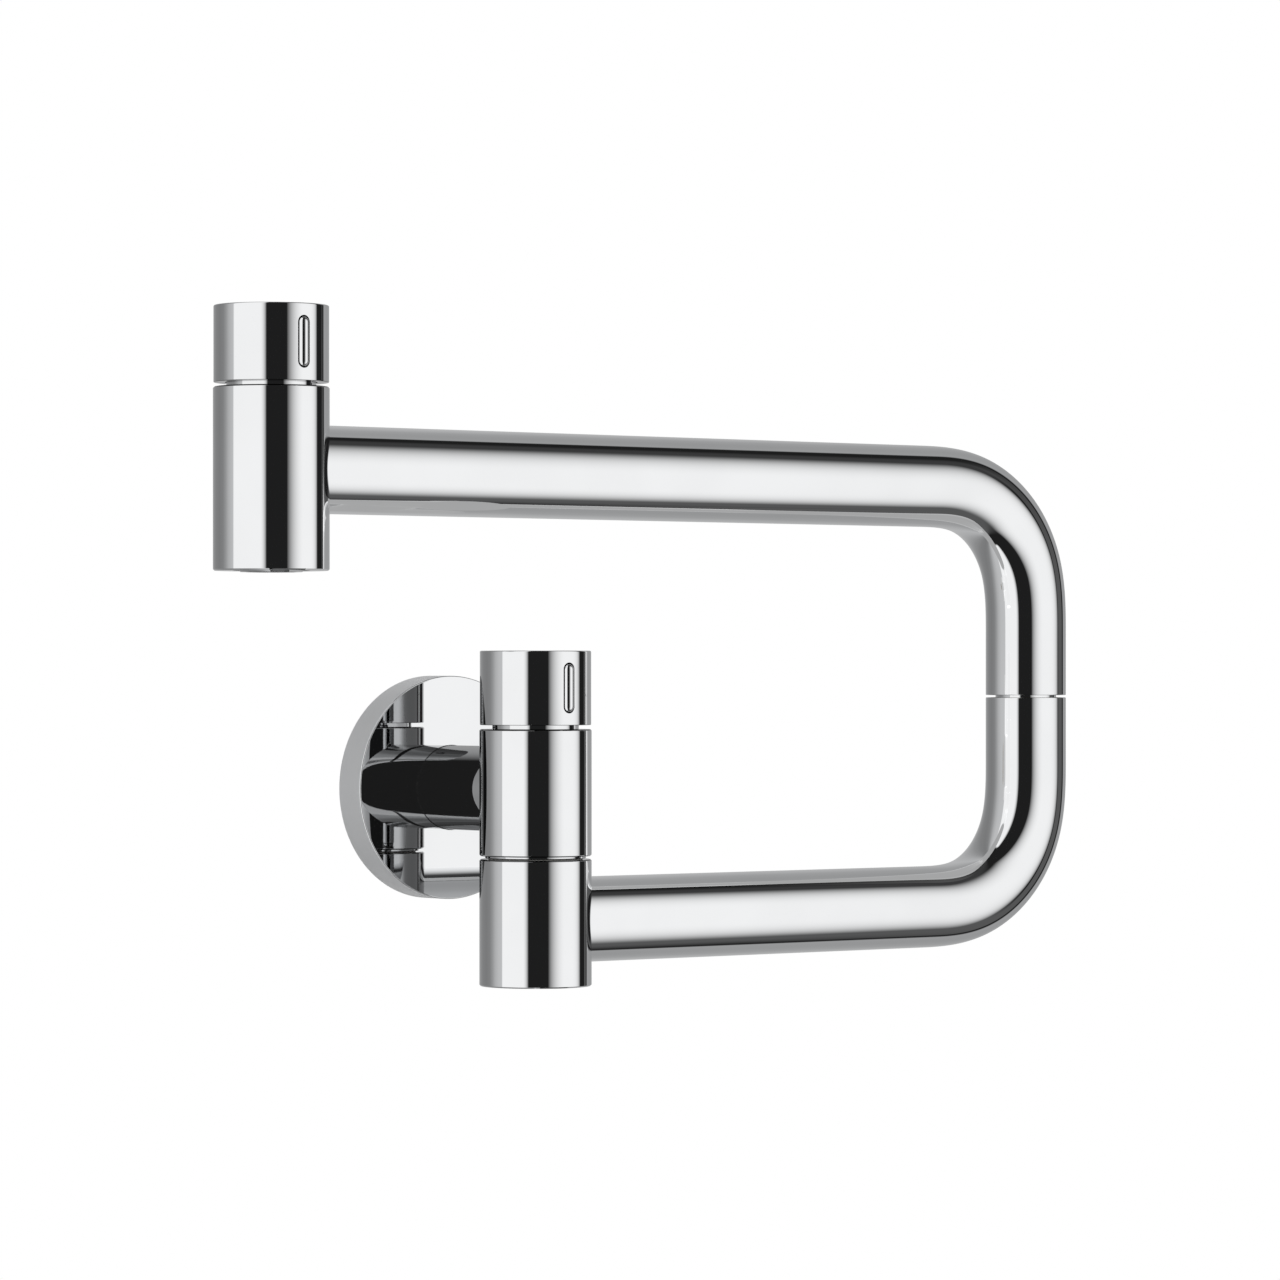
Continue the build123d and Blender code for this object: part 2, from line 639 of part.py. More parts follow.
def aerator_insert():
    """Plastic cup whose floor is drilled with a honeycomb of jets."""
    outer = aerator_bore_r - SEAT_FIT
    reach = aerator_bore_r - AERATOR_LIP
    shape = rod(outer, insert_bottom, insert_top)
    shape -= rod(outer - INSERT_WALL, insert_bottom + INSERT_FLOOR, insert_top)
    return shape - honeycomb(JET_DIAMETER, JET_PITCH, reach, insert_bottom, insert_bottom + INSERT_FLOOR)


def aerator_screen():
    """Fine strainer disc on top of the insert."""
    outer = aerator_bore_r - SEAT_FIT
    top = insert_top + SCREEN_THICKNESS
    pins = honeycomb(SCREEN_HOLE, SCREEN_PITCH, outer - INSERT_WALL, insert_top, top)
    return rod(outer, insert_top, top) - pins


# Places that more than one piece shares
stem_screw_start = spigot_r - STEM_SCREW_BITE + SEAT_FIT
swivel_ring_heights = (
    upper_land_top - SWIVEL_LAND / 2,
    lower_land_bottom + SWIVEL_LAND / 2,
)
pin_ring_heights = (glide_seat - PIN_RING_INSET, socket_bottom + PIN_RING_INSET)
cap_ring_height = (hub_bottom + cap_top) / 2

parts = {
    "wall_flange": inlet * wall_flange(),
    "flange_gasket": inlet * gasket_ring(SEAT_FIT),
    "flange_o_ring": inlet * o_ring(tube_r, RING_SECTION, flange_ring_place),
    "inlet_nipple": inlet * inlet_nipple(),
    "nipple_o_ring": inlet * seated_ring(spigot_r, RING_SECTION, nipple_ring_place),
    "connecting_stem": connecting_stem(),
    "inlet_strainer": inlet * inlet_strainer(),
    "stem_screw": inlet * grub_screw(stem_screw_start, tube_r - SEAT_FIT, stem_screw_place, DOWN_FROM_INLET),
    "valve_body": valve * valve_body(),
    "swivel_spindle": valve * swivel_spindle(),
    "swivel_o_rings": Compound(
        [valve * seated_ring(swivel_r, RING_SECTION, height) for height in swivel_ring_heights]
    ),
    "swivel_washer": valve * ring(washer_r, swivel_r + SEAT_FIT, washer_top - WASHER_THICKNESS, washer_top),
    "swivel_circlip": valve * circlip(swivel_r, hub_clip_top),
    "lower_hub": valve * lower_hub(),
    "hub_bush": valve * hub_bush(),
    "hub_cap": valve * hub_cap(),
    "hub_cap_o_ring": valve * seated_ring(cap_r, SMALL_RING_SECTION, cap_ring_height),
    "lower_arm_tube": lower_arm_tube(),
    "joint_socket": elbow * joint_socket(),
    "joint_glide_ring": elbow * ring(glide_seat_r - SEAT_FIT, pin_r + RUNNING_FIT, glide_seat, glide_top),
    "joint_spindle": elbow * joint_spindle(),
    "joint_o_rings": Compound(
        [elbow * seated_ring(pin_r, RING_SECTION, height) for height in pin_ring_heights]
    ),
    "joint_circlip": elbow * circlip(pin_r, pin_clip_top),
    "upper_arm_tube": upper_arm_tube(),
    "outlet_body": outlet * outlet_body(),
    "aerator_housing": outlet * aerator_housing(),
    "aerator_insert": outlet * aerator_insert(),
    "aerator_screen": outlet * aerator_screen(),
    "aerator_gasket": outlet * ring(aerator_r, aerator_bore_r, aerator_top, aerator_roof),
}
valve_pieces("wall", valve * Pos(0, 0, valve_top))
valve_pieces("outlet", outlet * Pos(0, 0, outlet_top))

os.makedirs("parts", exist_ok=True)
for name, shape in parts.items():
    export_step(shape, f"parts/{name}.step")
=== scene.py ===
import json
import math
from collections import namedtuple

import bpy
from mathutils import Matrix, Vector
from mathutils.kdtree import KDTree


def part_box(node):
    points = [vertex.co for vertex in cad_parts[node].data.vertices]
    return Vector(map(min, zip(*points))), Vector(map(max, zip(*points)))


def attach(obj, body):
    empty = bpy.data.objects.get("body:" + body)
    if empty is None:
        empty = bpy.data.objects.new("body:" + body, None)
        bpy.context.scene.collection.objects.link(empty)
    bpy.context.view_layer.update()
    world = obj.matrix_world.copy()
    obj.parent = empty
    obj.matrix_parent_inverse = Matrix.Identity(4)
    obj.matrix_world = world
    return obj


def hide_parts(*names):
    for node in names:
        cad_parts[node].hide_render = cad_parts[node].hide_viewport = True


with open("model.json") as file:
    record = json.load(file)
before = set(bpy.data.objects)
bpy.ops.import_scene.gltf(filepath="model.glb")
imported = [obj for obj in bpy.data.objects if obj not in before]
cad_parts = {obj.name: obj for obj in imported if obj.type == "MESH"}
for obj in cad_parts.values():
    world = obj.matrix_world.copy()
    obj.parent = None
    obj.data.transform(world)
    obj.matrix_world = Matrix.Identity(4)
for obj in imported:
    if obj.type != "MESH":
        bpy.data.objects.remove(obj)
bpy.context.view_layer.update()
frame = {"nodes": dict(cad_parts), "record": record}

# Chrome pot filler on a wall, with two swivelling arms and two quarter-turn valves.
# Metres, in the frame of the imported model: the wall is the plane y = 0, +X runs along it, +Z is up.

MM = 0.001

# Sizes that the boxes of the solids don't give
EDGE_BREAK = 0.4 * MM
EDGE_ROUND = 0.4 * MM
SHARP_ROUND = 0.05 * MM
CLOSE_FIT_ROUND = 0.02 * MM
HANDLE_FOOT_BREAK = 0.15 * MM
INNER_ROUND = 0.08 * MM
SEAT_FIT = 0.05 * MM
MOVING_GAP = 0.4 * MM
CARTRIDGE_BORE = 10.5 * MM
SEAT_PORT = 5.5 * MM
SLEEVE_WALL = 1.0 * MM
SLEEVE_BASE = 1.2 * MM
HUB_NECK = 15.5 * MM
HUB_NECK_LENGTH = 0.65 * MM
BUSH_FLANGE = 2.0 * MM
BUSH_WALL = 2.0 * MM
RING_SECTION = 2.0 * MM
SMALL_RING_SECTION = 1.2 * MM
GROOVE_SIDE = 0.1 * MM
FLANGE_FACE = 2.5 * MM
FLANGE_RIM = 5.0 * MM
FLANGE_BOSS = 17.35 * MM
FLANGE_BORE = 13.35 * MM
GASKET_WIDTH = 2.0 * MM
PIPE_WALL = 1.6 * MM
BEND_TIGHTEST = 36.0 * MM
BEND_EASE = 22.0 * MM
PIPE_START = 8.0 * MM
PIPE_SUNK = 0.3 * MM
PIPE_END_ROUND = 0.25 * MM
GRIP_GAP = 0.3 * MM
POCKET_RIM = 0.06 * MM
POCKET_FLOOR_ROUND = 0.2 * MM
THREAD_RADIUS = 10.4775 * MM
THREAD_PITCH = 1.814 * MM
THREAD_DEPTH = 1.1 * MM
THREAD_LEAD = 1.0 * MM
THREAD_RUN_OUT = 1.5 * MM
COLLAR_LENGTH = 2.0 * MM
SPIGOT_RADIUS = 10.5 * MM
KEY_BORE_CORNER = 6.95 * MM
KEY_SIDE = math.radians(60)
THREADED_SHARE = 0.75
SCREW_GROOVE = 0.6 * MM

# How fine the meshes are, and what counts as on the axis or on a pipe's wall
ROUND_SEGMENTS = 192
ARC_STEPS = 6
PIPE_SIDES = 128
BEND_STEPS = 96
POCKET_STEPS = 20
RIM_STEPS = 4
PIPE_RIM_STEPS = 3
THREAD_ROWS_PER_TURN = 14
SHARP_ANGLE = math.radians(40)
POLE = 1e-7
ON_WALL = 0.02 * MM

# Camera of the photograph
CAMERA_PLACE = (-1.00208, -1.38103, 0.03732)
CAMERA_HEADING = math.radians(-38.185)
CAMERA_LENS = 152.13
CAMERA_SENSOR = 36.0
CAMERA_SHIFT_UP = 0.02218

Turned = namedtuple("Turned", "x y radius low high")
Pocket = namedtuple("Pocket", "facing half_width half_straight height floor")

record = frame["record"]
node_body = {node: body for body, nodes in record["behaviour"]["bodies"].items() for node in nodes}
node_slot = {part["node"]: part["material_slot"] for part in record["subparts"]}
axis_of = {joint["name"]: Vector(joint["pos_m"]) for joint in record["behaviour"]["joints"]}
valve_axis = axis_of["wall_valve_turn"]
elbow_axis = axis_of["elbow_swivel"]
outlet_axis = axis_of["outlet_valve_turn"]
pipe_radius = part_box("upper_arm_tube")[1].x - elbow_axis.x


# Turned pieces


def upright(node, axis):
    """Axis, radius and end heights of a round solid on an upright axis."""
    low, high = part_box(node)
    return Turned(axis.x, axis.y, high.x - axis.x, low.z, high.z)


def along_inlet(node):
    """Radius and ends of a round solid on the inlet's axis, which runs into the wall."""
    low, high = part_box(node)
    return Turned(0.0, 0.0, high.x, low.y, high.y)


def standing(axis):
    """Placement of a turned piece on an upright axis."""
    return Matrix.Translation((axis.x, axis.y, 0))


INTO_WALL = Matrix.Rotation(math.radians(-90), 4, "X")


def rounded(corners, closed):
    """Fine outline of (radius, height, rounding) corners, with its outward normals.

    A corner without a rounding of its own takes that of inner edges.
    """
    points, normals = [], []
    for i, (radius, height, *given) in enumerate(corners):
        rounding = given[0] if given else INNER_ROUND
        here = Vector((radius, height))
        back = (here - Vector(corners[i - 1][:2])).normalized()
        ahead = (Vector(corners[(i + 1) % len(corners)][:2]) - here).normalized()
        if not closed and i == 0:
            back = ahead
        if not closed and i == len(corners) - 1:
            ahead = back
        turn = math.atan2(back.x * ahead.y - back.y * ahead.x, back.dot(ahead))
        side = math.copysign(rounding, turn)
        normal = Vector((back.y, -back.x))
        centre = here - back * (rounding * math.tan(abs(turn) / 2)) - normal * side
        steps = ARC_STEPS if rounding else 0
        for k in range(steps + 1):
            swung = normal.copy()
            swung.rotate(Matrix.Rotation(turn * k / max(steps, 1), 2))
            point = centre + swung * side
            if not points or (point - points[-1]).length > POLE:
                points.append(point)
                normals.append(swung)
    return points, normals


def broken_foot(radius, low, width=EDGE_BREAK):
    """Corners of a broken lower edge."""
    return [(radius - width, low, SHARP_ROUND), (radius, low + width, SHARP_ROUND)]


def broken_head(radius, high):
    """Corners of a broken upper edge."""
    return [(radius, high - EDGE_BREAK, SHARP_ROUND), (radius - EDGE_BREAK, high, SHARP_ROUND)]


def groove(face, floor, start, end):
    """Corners of a groove round a turned piece, from its face to its floor."""
    return [(face, start), (floor, start), (floor, end), (face, end)]


def cartridge_bore(body, seat):
    """Corners of the bore that takes a cartridge, from the top of a body to the seat's port."""
    return [(CARTRIDGE_BORE, body.high), (CARTRIDGE_BORE, seat.low), (SEAT_PORT, seat.low)]


def new_object(name, data):
    """Object in the scene."""
    made = bpy.data.objects.new(name, data)
    bpy.context.scene.collection.objects.link(made)
    return made


def new_piece(name, points, faces, normals=None, edges=()):
    """Mesh object at the origin, smooth, with the given normals."""
    mesh = bpy.data.meshes.new(name)
    mesh.from_pydata(points, edges, faces)
    mesh.shade_smooth()
    if normals:
        mesh.normals_split_custom_set_from_vertices(normals)
    return new_object(name, mesh)


def revolve(points, normals, angles, place):
    """Rings of vertices of an outline turned about its axis; a point on the axis is one vertex."""
    spots, ways, rings = [], [], []
    turn = place.to_3x3()
    for (radius, height), (out, up) in zip(points, normals):
        around = angles if radius > POLE else angles[:1]
        rings.append(range(len(spots), len(spots) + len(around)))
        for angle in around:
            spoke = Vector((math.cos(angle), math.sin(angle), 0))
            spots.append(place @ (spoke * radius + Vector((0, 0, height))))
            ways.append(turn @ (spoke * out + Vector((0, 0, up))))
    return spots, ways, rings


def strip(low, high):
    """Faces between two rings or loops; at a pole they are triangles."""
    columns = max(len(low), len(high))
    faces = []
    for k in range(columns):
        after = (k + 1) % columns
        foot = (low[k % len(low)], low[after % len(low)])
        head = (high[after % len(high)], high[k % len(high)])
        faces.append(tuple(dict.fromkeys(foot + head)))
    return faces


def even_angles(count):
    """Angles of a full turn in equal steps."""
    return [2 * math.pi * k / count for k in range(count)]


def lathe(name, corners, place, closed=True, keep_normals=True):
    """Turned piece; a closed outline makes a ring, an open one starts and ends on the axis."""
    points, normals = rounded(corners, closed)
    spots, ways, rings = revolve(points, normals, even_angles(ROUND_SEGMENTS), place)
    faces = []
    for low, high in zip(rings, rings[1:] + (rings[:1] if closed else [])):
        faces += strip(low, high)
    return new_piece(name, spots, faces, ways if keep_normals else None)


def flange_piece():
    """Wall rosette: a mirror-flat cup with a boss for the O-ring and a groove for the gasket."""
    cup = along_inlet("wall_flange")
    gasket = along_inlet("flange_gasket")
    ring = along_inlet("flange_o_ring")
    hollow = cup.radius - FLANGE_RIM
    gasket_out = gasket.radius + SEAT_FIT
    gasket_in = gasket_out - GASKET_WIDTH
    gasket_floor = gasket.low - SEAT_FIT
    boss_end = (ring.low + ring.high) / 2 + RING_SECTION
    corners = [
        (FLANGE_BORE, cup.low, CLOSE_FIT_ROUND),
        (cup.radius, cup.low, EDGE_ROUND),
        (cup.radius, cup.high),
        (gasket_out, cup.high),
        (gasket_out, gasket_floor),
        (gasket_in, gasket_floor),
        (gasket_in, cup.high),
        (hollow, cup.high),
        (hollow, cup.low + FLANGE_FACE, EDGE_ROUND),
        (FLANGE_BOSS, cup.low + FLANGE_FACE, EDGE_ROUND),
        (FLANGE_BOSS, boss_end),
        (FLANGE_BORE, boss_end),
        *groove(FLANGE_BORE, ring.radius + SEAT_FIT, ring.high + GROOVE_SIDE, ring.low - GROOVE_SIDE),
    ]
    return lathe("polished_wall_flange", corners, INTO_WALL)


def valve_body_piece():
    """Round body at the wall, bored for its cartridge, with the swivel's neck below."""
    body = upright("valve_body", valve_axis)
    seat = upright("wall_seat_seal", valve_axis)
    spindle = upright("swivel_spindle", valve_axis)
    swivel_bore = spindle.radius + SEAT_FIT
    shoulder = body.low + HUB_NECK_LENGTH
    corners = [
        (SEAT_PORT, spindle.high),
        (swivel_bore, spindle.high),
        (swivel_bore, body.low),
        (HUB_NECK, body.low),
        (HUB_NECK, shoulder),
        *broken_foot(body.radius, shoulder),
        *broken_head(body.radius, body.high),
        *cartridge_bore(body, seat),
    ]
    return lathe("polished_valve_body", corners, standing(valve_axis))


def lower_hub_piece():
    """Hub of the lower arm, bored for its bush, washer and bottom cap."""
    hub = upright("lower_hub", valve_axis)
    bush = upright("hub_bush", valve_axis)
    washer = upright("swivel_washer", valve_axis)
    cap = upright("hub_cap", valve_axis)
    bore = upright("swivel_spindle", valve_axis).radius + SEAT_FIT
    bush_seat = bush.high - BUSH_FLANGE
    land = washer.high + SEAT_FIT
    corners = [
        (bore, land),
        (washer.radius + MOVING_GAP, land),
        (washer.radius + MOVING_GAP, cap.high),
        (cap.radius + SEAT_FIT, cap.high),
        (cap.radius + SEAT_FIT, hub.low),
        *broken_foot(hub.radius, hub.low),
        *broken_head(hub.radius, hub.high),
        (bush.radius + SEAT_FIT, hub.high),
        (bush.radius + SEAT_FIT, bush_seat),
        (bore + BUSH_WALL + SEAT_FIT, bush_seat),
        (bore + BUSH_WALL + SEAT_FIT, bush.low),
        (bore, bush.low),
    ]
    return lathe("polished_lower_hub", corners, standing(valve_axis))


def hub_cap_piece():
    """Plug in the bottom of the hub, grooved for its O-ring."""
    cap = upright("hub_cap", valve_axis)
    ring = upright("hub_cap_o_ring", valve_axis)
    floor = cap.radius - SMALL_RING_SECTION - SEAT_FIT
    corners = [
        (0.0, cap.low, 0.0),
        (cap.radius, cap.low, EDGE_ROUND),
        *groove(cap.radius, floor, ring.low - GROOVE_SIDE, ring.high + GROOVE_SIDE),
        (cap.radius, cap.high),
        (0.0, cap.high, 0.0),
    ]
    return lathe("polished_hub_cap", corners, standing(valve_axis), closed=False)


def outlet_body_piece():
    """Round body over the outlet, bored for its cartridge and for the aerator."""
    body = upright("outlet_body", outlet_axis)
    seat = upright("outlet_seat_seal", outlet_axis)
    gasket = upright("aerator_gasket", outlet_axis)
    aerator_bore = gasket.radius + SEAT_FIT
    corners = [
        (SEAT_PORT, gasket.high),
        (aerator_bore, gasket.high),
        (aerator_bore, body.low),
        *broken_foot(body.radius, body.low),
        *broken_head(body.radius, body.high),
        *cartridge_bore(body, seat),
    ]
    return lathe("polished_outlet_body", corners, standing(outlet_axis))


def sleeve_piece(valve, axis):
    """Bright ring round the cartridge, seen as the neck under a handle."""
    sleeve = upright(f"{valve}_cartridge_sleeve", axis)
    inside = sleeve.radius - SLEEVE_WALL
    corners = [
        (CARTRIDGE_BORE, sleeve.low),
        (sleeve.radius, sleeve.low),
        (sleeve.radius, sleeve.high),
        (inside, sleeve.high),
        (inside, sleeve.low + SLEEVE_BASE),
        (CARTRIDGE_BORE, sleeve.low + SLEEVE_BASE),
    ]
    return lathe(f"bright_{valve}_neck_ring", corners, standing(axis))


def grip_axis(valve, axis):
    """Upright axis of a handle's grip bar."""
    low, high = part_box(f"{valve}_handle_grip")
    return Vector((axis.x, (low.y + high.y) / 2, 0))


def grip_piece(valve, axis):
    """Round-ended bar that stands proud of a handle."""
    middle = grip_axis(valve, axis)
    bar = upright(f"{valve}_handle_grip", middle)
    corners = [
        (0.0, bar.low, 0.0),
        (bar.radius, bar.low, bar.radius),
        (bar.radius, bar.high, bar.radius),
        (0.0, bar.high, 0.0),
    ]
    return lathe(f"polished_{valve}_grip_bar", corners, standing(middle), closed=False)


# Handles: a turned shell with a pocket for the grip bar in front and a screw hole behind

TO_FRONT = math.radians(-90)
TO_WALL = math.radians(90)


def pocket_loop(pocket, half_width):
    """(side, rise) points round a pocket: along its lower edge, then back along its upper one."""
    lower = []
    for k in range(POCKET_STEPS + 1):
        turn = math.pi * k / POCKET_STEPS
        drop = half_width * math.sin(turn)
        lower.append((-half_width * math.cos(turn), -pocket.half_straight - drop))
    upper = [(side, -rise) for side, rise in reversed(lower)]
    return lower + (upper if pocket.half_straight else upper[1:-1])


def upper_index(pocket, loop, k):
    """Place in a pocket's loop of the point above lower point k."""
    return (len(loop) - k - (1 if pocket.half_straight else 0)) % len(loop)


def pocket_mesh(pocket, radius, place, first):
    """Rim, wall and floor of a pocket in a round wall; vertices are numbered from first."""
    facing = Vector((math.cos(pocket.facing), math.sin(pocket.facing), 0))
    across = Vector((-facing.y, facing.x, 0))
    up = Vector((0, 0, 1))
    stages = []
    for j in range(RIM_STEPS + 1):
        tilt = math.pi / 2 * j / RIM_STEPS
        spread = POCKET_RIM * (1 - math.sin(tilt))
        stages.append((spread, POCKET_RIM * (1 - math.cos(tilt)), tilt, 0.0))
    stages.append((0.0, None, math.pi / 2, 1.0))
    stages.append((-POCKET_FLOOR_ROUND, None, 0.0, 1.0))
    spots, ways, loops = [], [], []
    for spread, depth, tilt, floor_share in stages:
        loop = pocket_loop(pocket, pocket.half_width + spread)
        loops.append(range(first + len(spots), first + len(spots) + len(loop)))
        for side, rise in loop:
            reach = math.sqrt(radius**2 - side**2)
            out = pocket.floor if depth is None else reach - depth
            core = max(-pocket.half_straight, min(pocket.half_straight, rise))
            inward = -(across * side + up * (rise - core)).normalized()
            base = facing if floor_share else (across * side + facing * reach) / radius
            spots.append(place @ (across * side + facing * out + up * (pocket.height + rise)))
            way = base * max(math.cos(tilt), floor_share) + inward * math.sin(tilt)
            ways.append(way.normalized())
    faces = [face for low, high in zip(loops, loops[1:]) for face in strip(low, high)]
    faces.append(tuple(loops[-1]))
    return spots, ways, faces, loops[0]


def handle_columns(pockets, radius):
    """Sorted (angle, pocket, step) columns of a handle: even ones, and one per step of a pocket."""
    columns = []
    for pocket in pockets:
        half = pocket.half_width + POCKET_RIM
        for k in range(POCKET_STEPS + 1):
            side = -half * math.cos(math.pi * k / POCKET_STEPS)
            columns.append((pocket.facing + math.asin(side / radius), pocket, k))
    for angle in even_angles(ROUND_SEGMENTS):
        aside = [abs(math.remainder(angle - pocket.facing, 2 * math.pi)) for pocket in pockets]
        spread = [math.asin((pocket.half_width + 2 * POCKET_RIM) / radius) for pocket in pockets]
        if all(a > s for a, s in zip(aside, spread)):
            columns.append((angle, None, 0))
    return sorted(columns, key=lambda column: column[0] % (2 * math.pi))


def handle_pockets(valve, axis):
    """Pockets of a handle for its grip bar in front and for its screw behind."""
    bar = upright(f"{valve}_handle_grip", axis)
    bar_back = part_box(f"{valve}_handle_grip")[1].y
    screw_low, screw_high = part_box(f"{valve}_handle_screw")
    half_width = bar.radius + GRIP_GAP
    half_length = (bar.high - bar.low) / 2 + GRIP_GAP
    for_grip = Pocket(
        facing=TO_FRONT,
        half_width=half_width,
        half_straight=half_length - half_width,
        height=(bar.low + bar.high) / 2,
        floor=axis.y - bar_back - SEAT_FIT,
    )
    for_screw = Pocket(
        facing=TO_WALL,
        half_width=(screw_high.x - screw_low.x) / 2 + SEAT_FIT,
        half_straight=0.0,
        height=(screw_low.z + screw_high.z) / 2,
        floor=screw_low.y - axis.y + SEAT_FIT,
    )
    return for_grip, for_screw


def handle_wall(columns, low_ring, high_ring, rims):
    """Faces of a handle's round wall, open at the rims of its pockets."""
    faces = []
    for i, (_, here, k) in enumerate(columns):
        after = (i + 1) % len(columns)
        _, there, k_there = columns[after]
        low, low_after = low_ring[i], low_ring[after]
        high, high_after = high_ring[i], high_ring[after]
        if here and here is there:
            rim = rims[here]
            over, over_there = upper_index(here, rim, k), upper_index(here, rim, k_there)
            faces.append((low, low_after, rim[k_there], rim[k]))
            faces.append((rim[over], rim[over_there], high_after, high))
            continue
        face = [low, low_after]
        if there:
            face += [rims[there][k_there], rims[there][upper_index(there, rims[there], k_there)]]
        face += [high_after, high]
        if here:
            face += [rims[here][upper_index(here, rims[here], k)], rims[here][k]]
        faces.append(tuple(dict.fromkeys(face)))
    return faces


def handle_piece(valve, axis):
    """Hollow round handle of one valve."""
    shell = upright(f"{valve}_handle", axis)
    adapter = upright(f"{valve}_handle_adapter", axis)
    hollow = upright(f"{valve}_cartridge_sleeve", axis).radius + MOVING_GAP
    pockets = handle_pockets(valve, axis)
    corners = [
        (0.0, adapter.high + SEAT_FIT, 0.0),
        (adapter.radius + SEAT_FIT, adapter.high + SEAT_FIT),
        (adapter.radius + SEAT_FIT, adapter.low),
        (hollow, adapter.low),
        (hollow, shell.low),
        *broken_foot(shell.radius, shell.low, HANDLE_FOOT_BREAK),
        (shell.radius, shell.high, EDGE_ROUND),
        (0.0, shell.high, 0.0),
    ]
    points, normals = rounded(corners, closed=False)
    columns = handle_columns(pockets, shell.radius)
    place = standing(axis)
    spots, ways, rings = revolve(points, normals, [column[0] for column in columns], place)
    on_wall = [point.x > shell.radius - POLE for point in points]
    wall = next(i for i in range(len(points)) if on_wall[i] and on_wall[i + 1])
    faces = []
    for i in range(len(rings) - 1):
        if i != wall:
            faces += strip(rings[i], rings[i + 1])
    rims = {}
    for pocket in pockets:
        made = pocket_mesh(pocket, shell.radius, place, len(spots))
        pocket_spots, pocket_ways, pocket_faces, rims[pocket] = made
        spots += pocket_spots
        ways += pocket_ways
        faces += pocket_faces
    faces += handle_wall(columns, rings[wall], rings[wall + 1], rims)
    return new_piece(f"polished_{valve}_handle", spots, faces, ways)


# Node helpers


def feed(socket, value):
    """Links an input to a socket of its tree, or sets it to a constant."""
    if isinstance(value, bpy.types.NodeSocket):
        socket.id_data.links.new(value, socket)
    elif value is not None:
        socket.default_value = value


def add_node(tree, kind, inputs):
    """New node with its inputs fed by name."""
    node = tree.nodes.new(kind)
    for name, value in inputs.items():
        feed(node.inputs[name], value)
    return node


def number(tree, operation, first, second=None):
    """Math node on sockets or constants."""
    node = tree.nodes.new("ShaderNodeMath")
    node.operation = operation
    feed(node.inputs[0], first)
    feed(node.inputs[1], second)
    return node.outputs["Value"]


def times(tree, product, *factors):
    """Product of sockets or constants."""
    for factor in factors:
        product = number(tree, "MULTIPLY", product, factor)
    return product


def vector(tree, operation, first, second=None, scale=None):
    """Vector Math node on sockets or constants."""
    node = tree.nodes.new("ShaderNodeVectorMath")
    node.operation = operation
    feed(node.inputs[0], first)
    feed(node.inputs[1], second)
    if scale is not None:
        feed(node.inputs["Scale"], scale)
    return node.outputs["Value" if operation in ("DOT_PRODUCT", "LENGTH") else "Vector"]


def split(tree, value):
    """X, Y and Z of a vector."""
    return add_node(tree, "ShaderNodeSeparateXYZ", {"Vector": value}).outputs


def ease(tree, value, start, end, low=0.0, high=1.0, smooth=True):
    """Rise from low at start to high at end."""
    node = tree.nodes.new("ShaderNodeMapRange")
    node.interpolation_type = "SMOOTHSTEP" if smooth else "LINEAR"
    names = ("Value", "From Min", "From Max", "To Min", "To Max")
    for name, given in zip(names, (value, start, end, low, high)):
        feed(node.inputs[name], given)
    return node.outputs["Result"]


def new_tree(name, kind, inputs, outputs):
    """Node group with named inputs and outputs, and its two end nodes."""
    tree = bpy.data.node_groups.new(name, kind)
    for label, socket in inputs:
        tree.interface.new_socket(label, in_out="INPUT", socket_type=f"NodeSocket{socket}")
    for label, socket in outputs:
        tree.interface.new_socket(label, in_out="OUTPUT", socket_type=f"NodeSocket{socket}")
    return tree, tree.nodes.new("NodeGroupInput").outputs, tree.nodes.new("NodeGroupOutput").inputs


# Pieces made by Geometry Nodes

GEOMETRY_OUT = [("Geometry", "Geometry")]


def end_tree(tree, geometry, given, taken):
    """Closes a geometry tree: smooth, real geometry with its material."""
    smooth = add_node(tree, "GeometryNodeSetShadeSmooth", {"Geometry": geometry})
    real = add_node(tree, "GeometryNodeRealizeInstances", {"Geometry": smooth.outputs["Geometry"]})
    bare = {"Geometry": real.outputs["Geometry"], "Material": given["Material"]}
    painted = add_node(tree, "GeometryNodeSetMaterial", bare)
    feed(taken["Geometry"], painted.outputs["Geometry"])


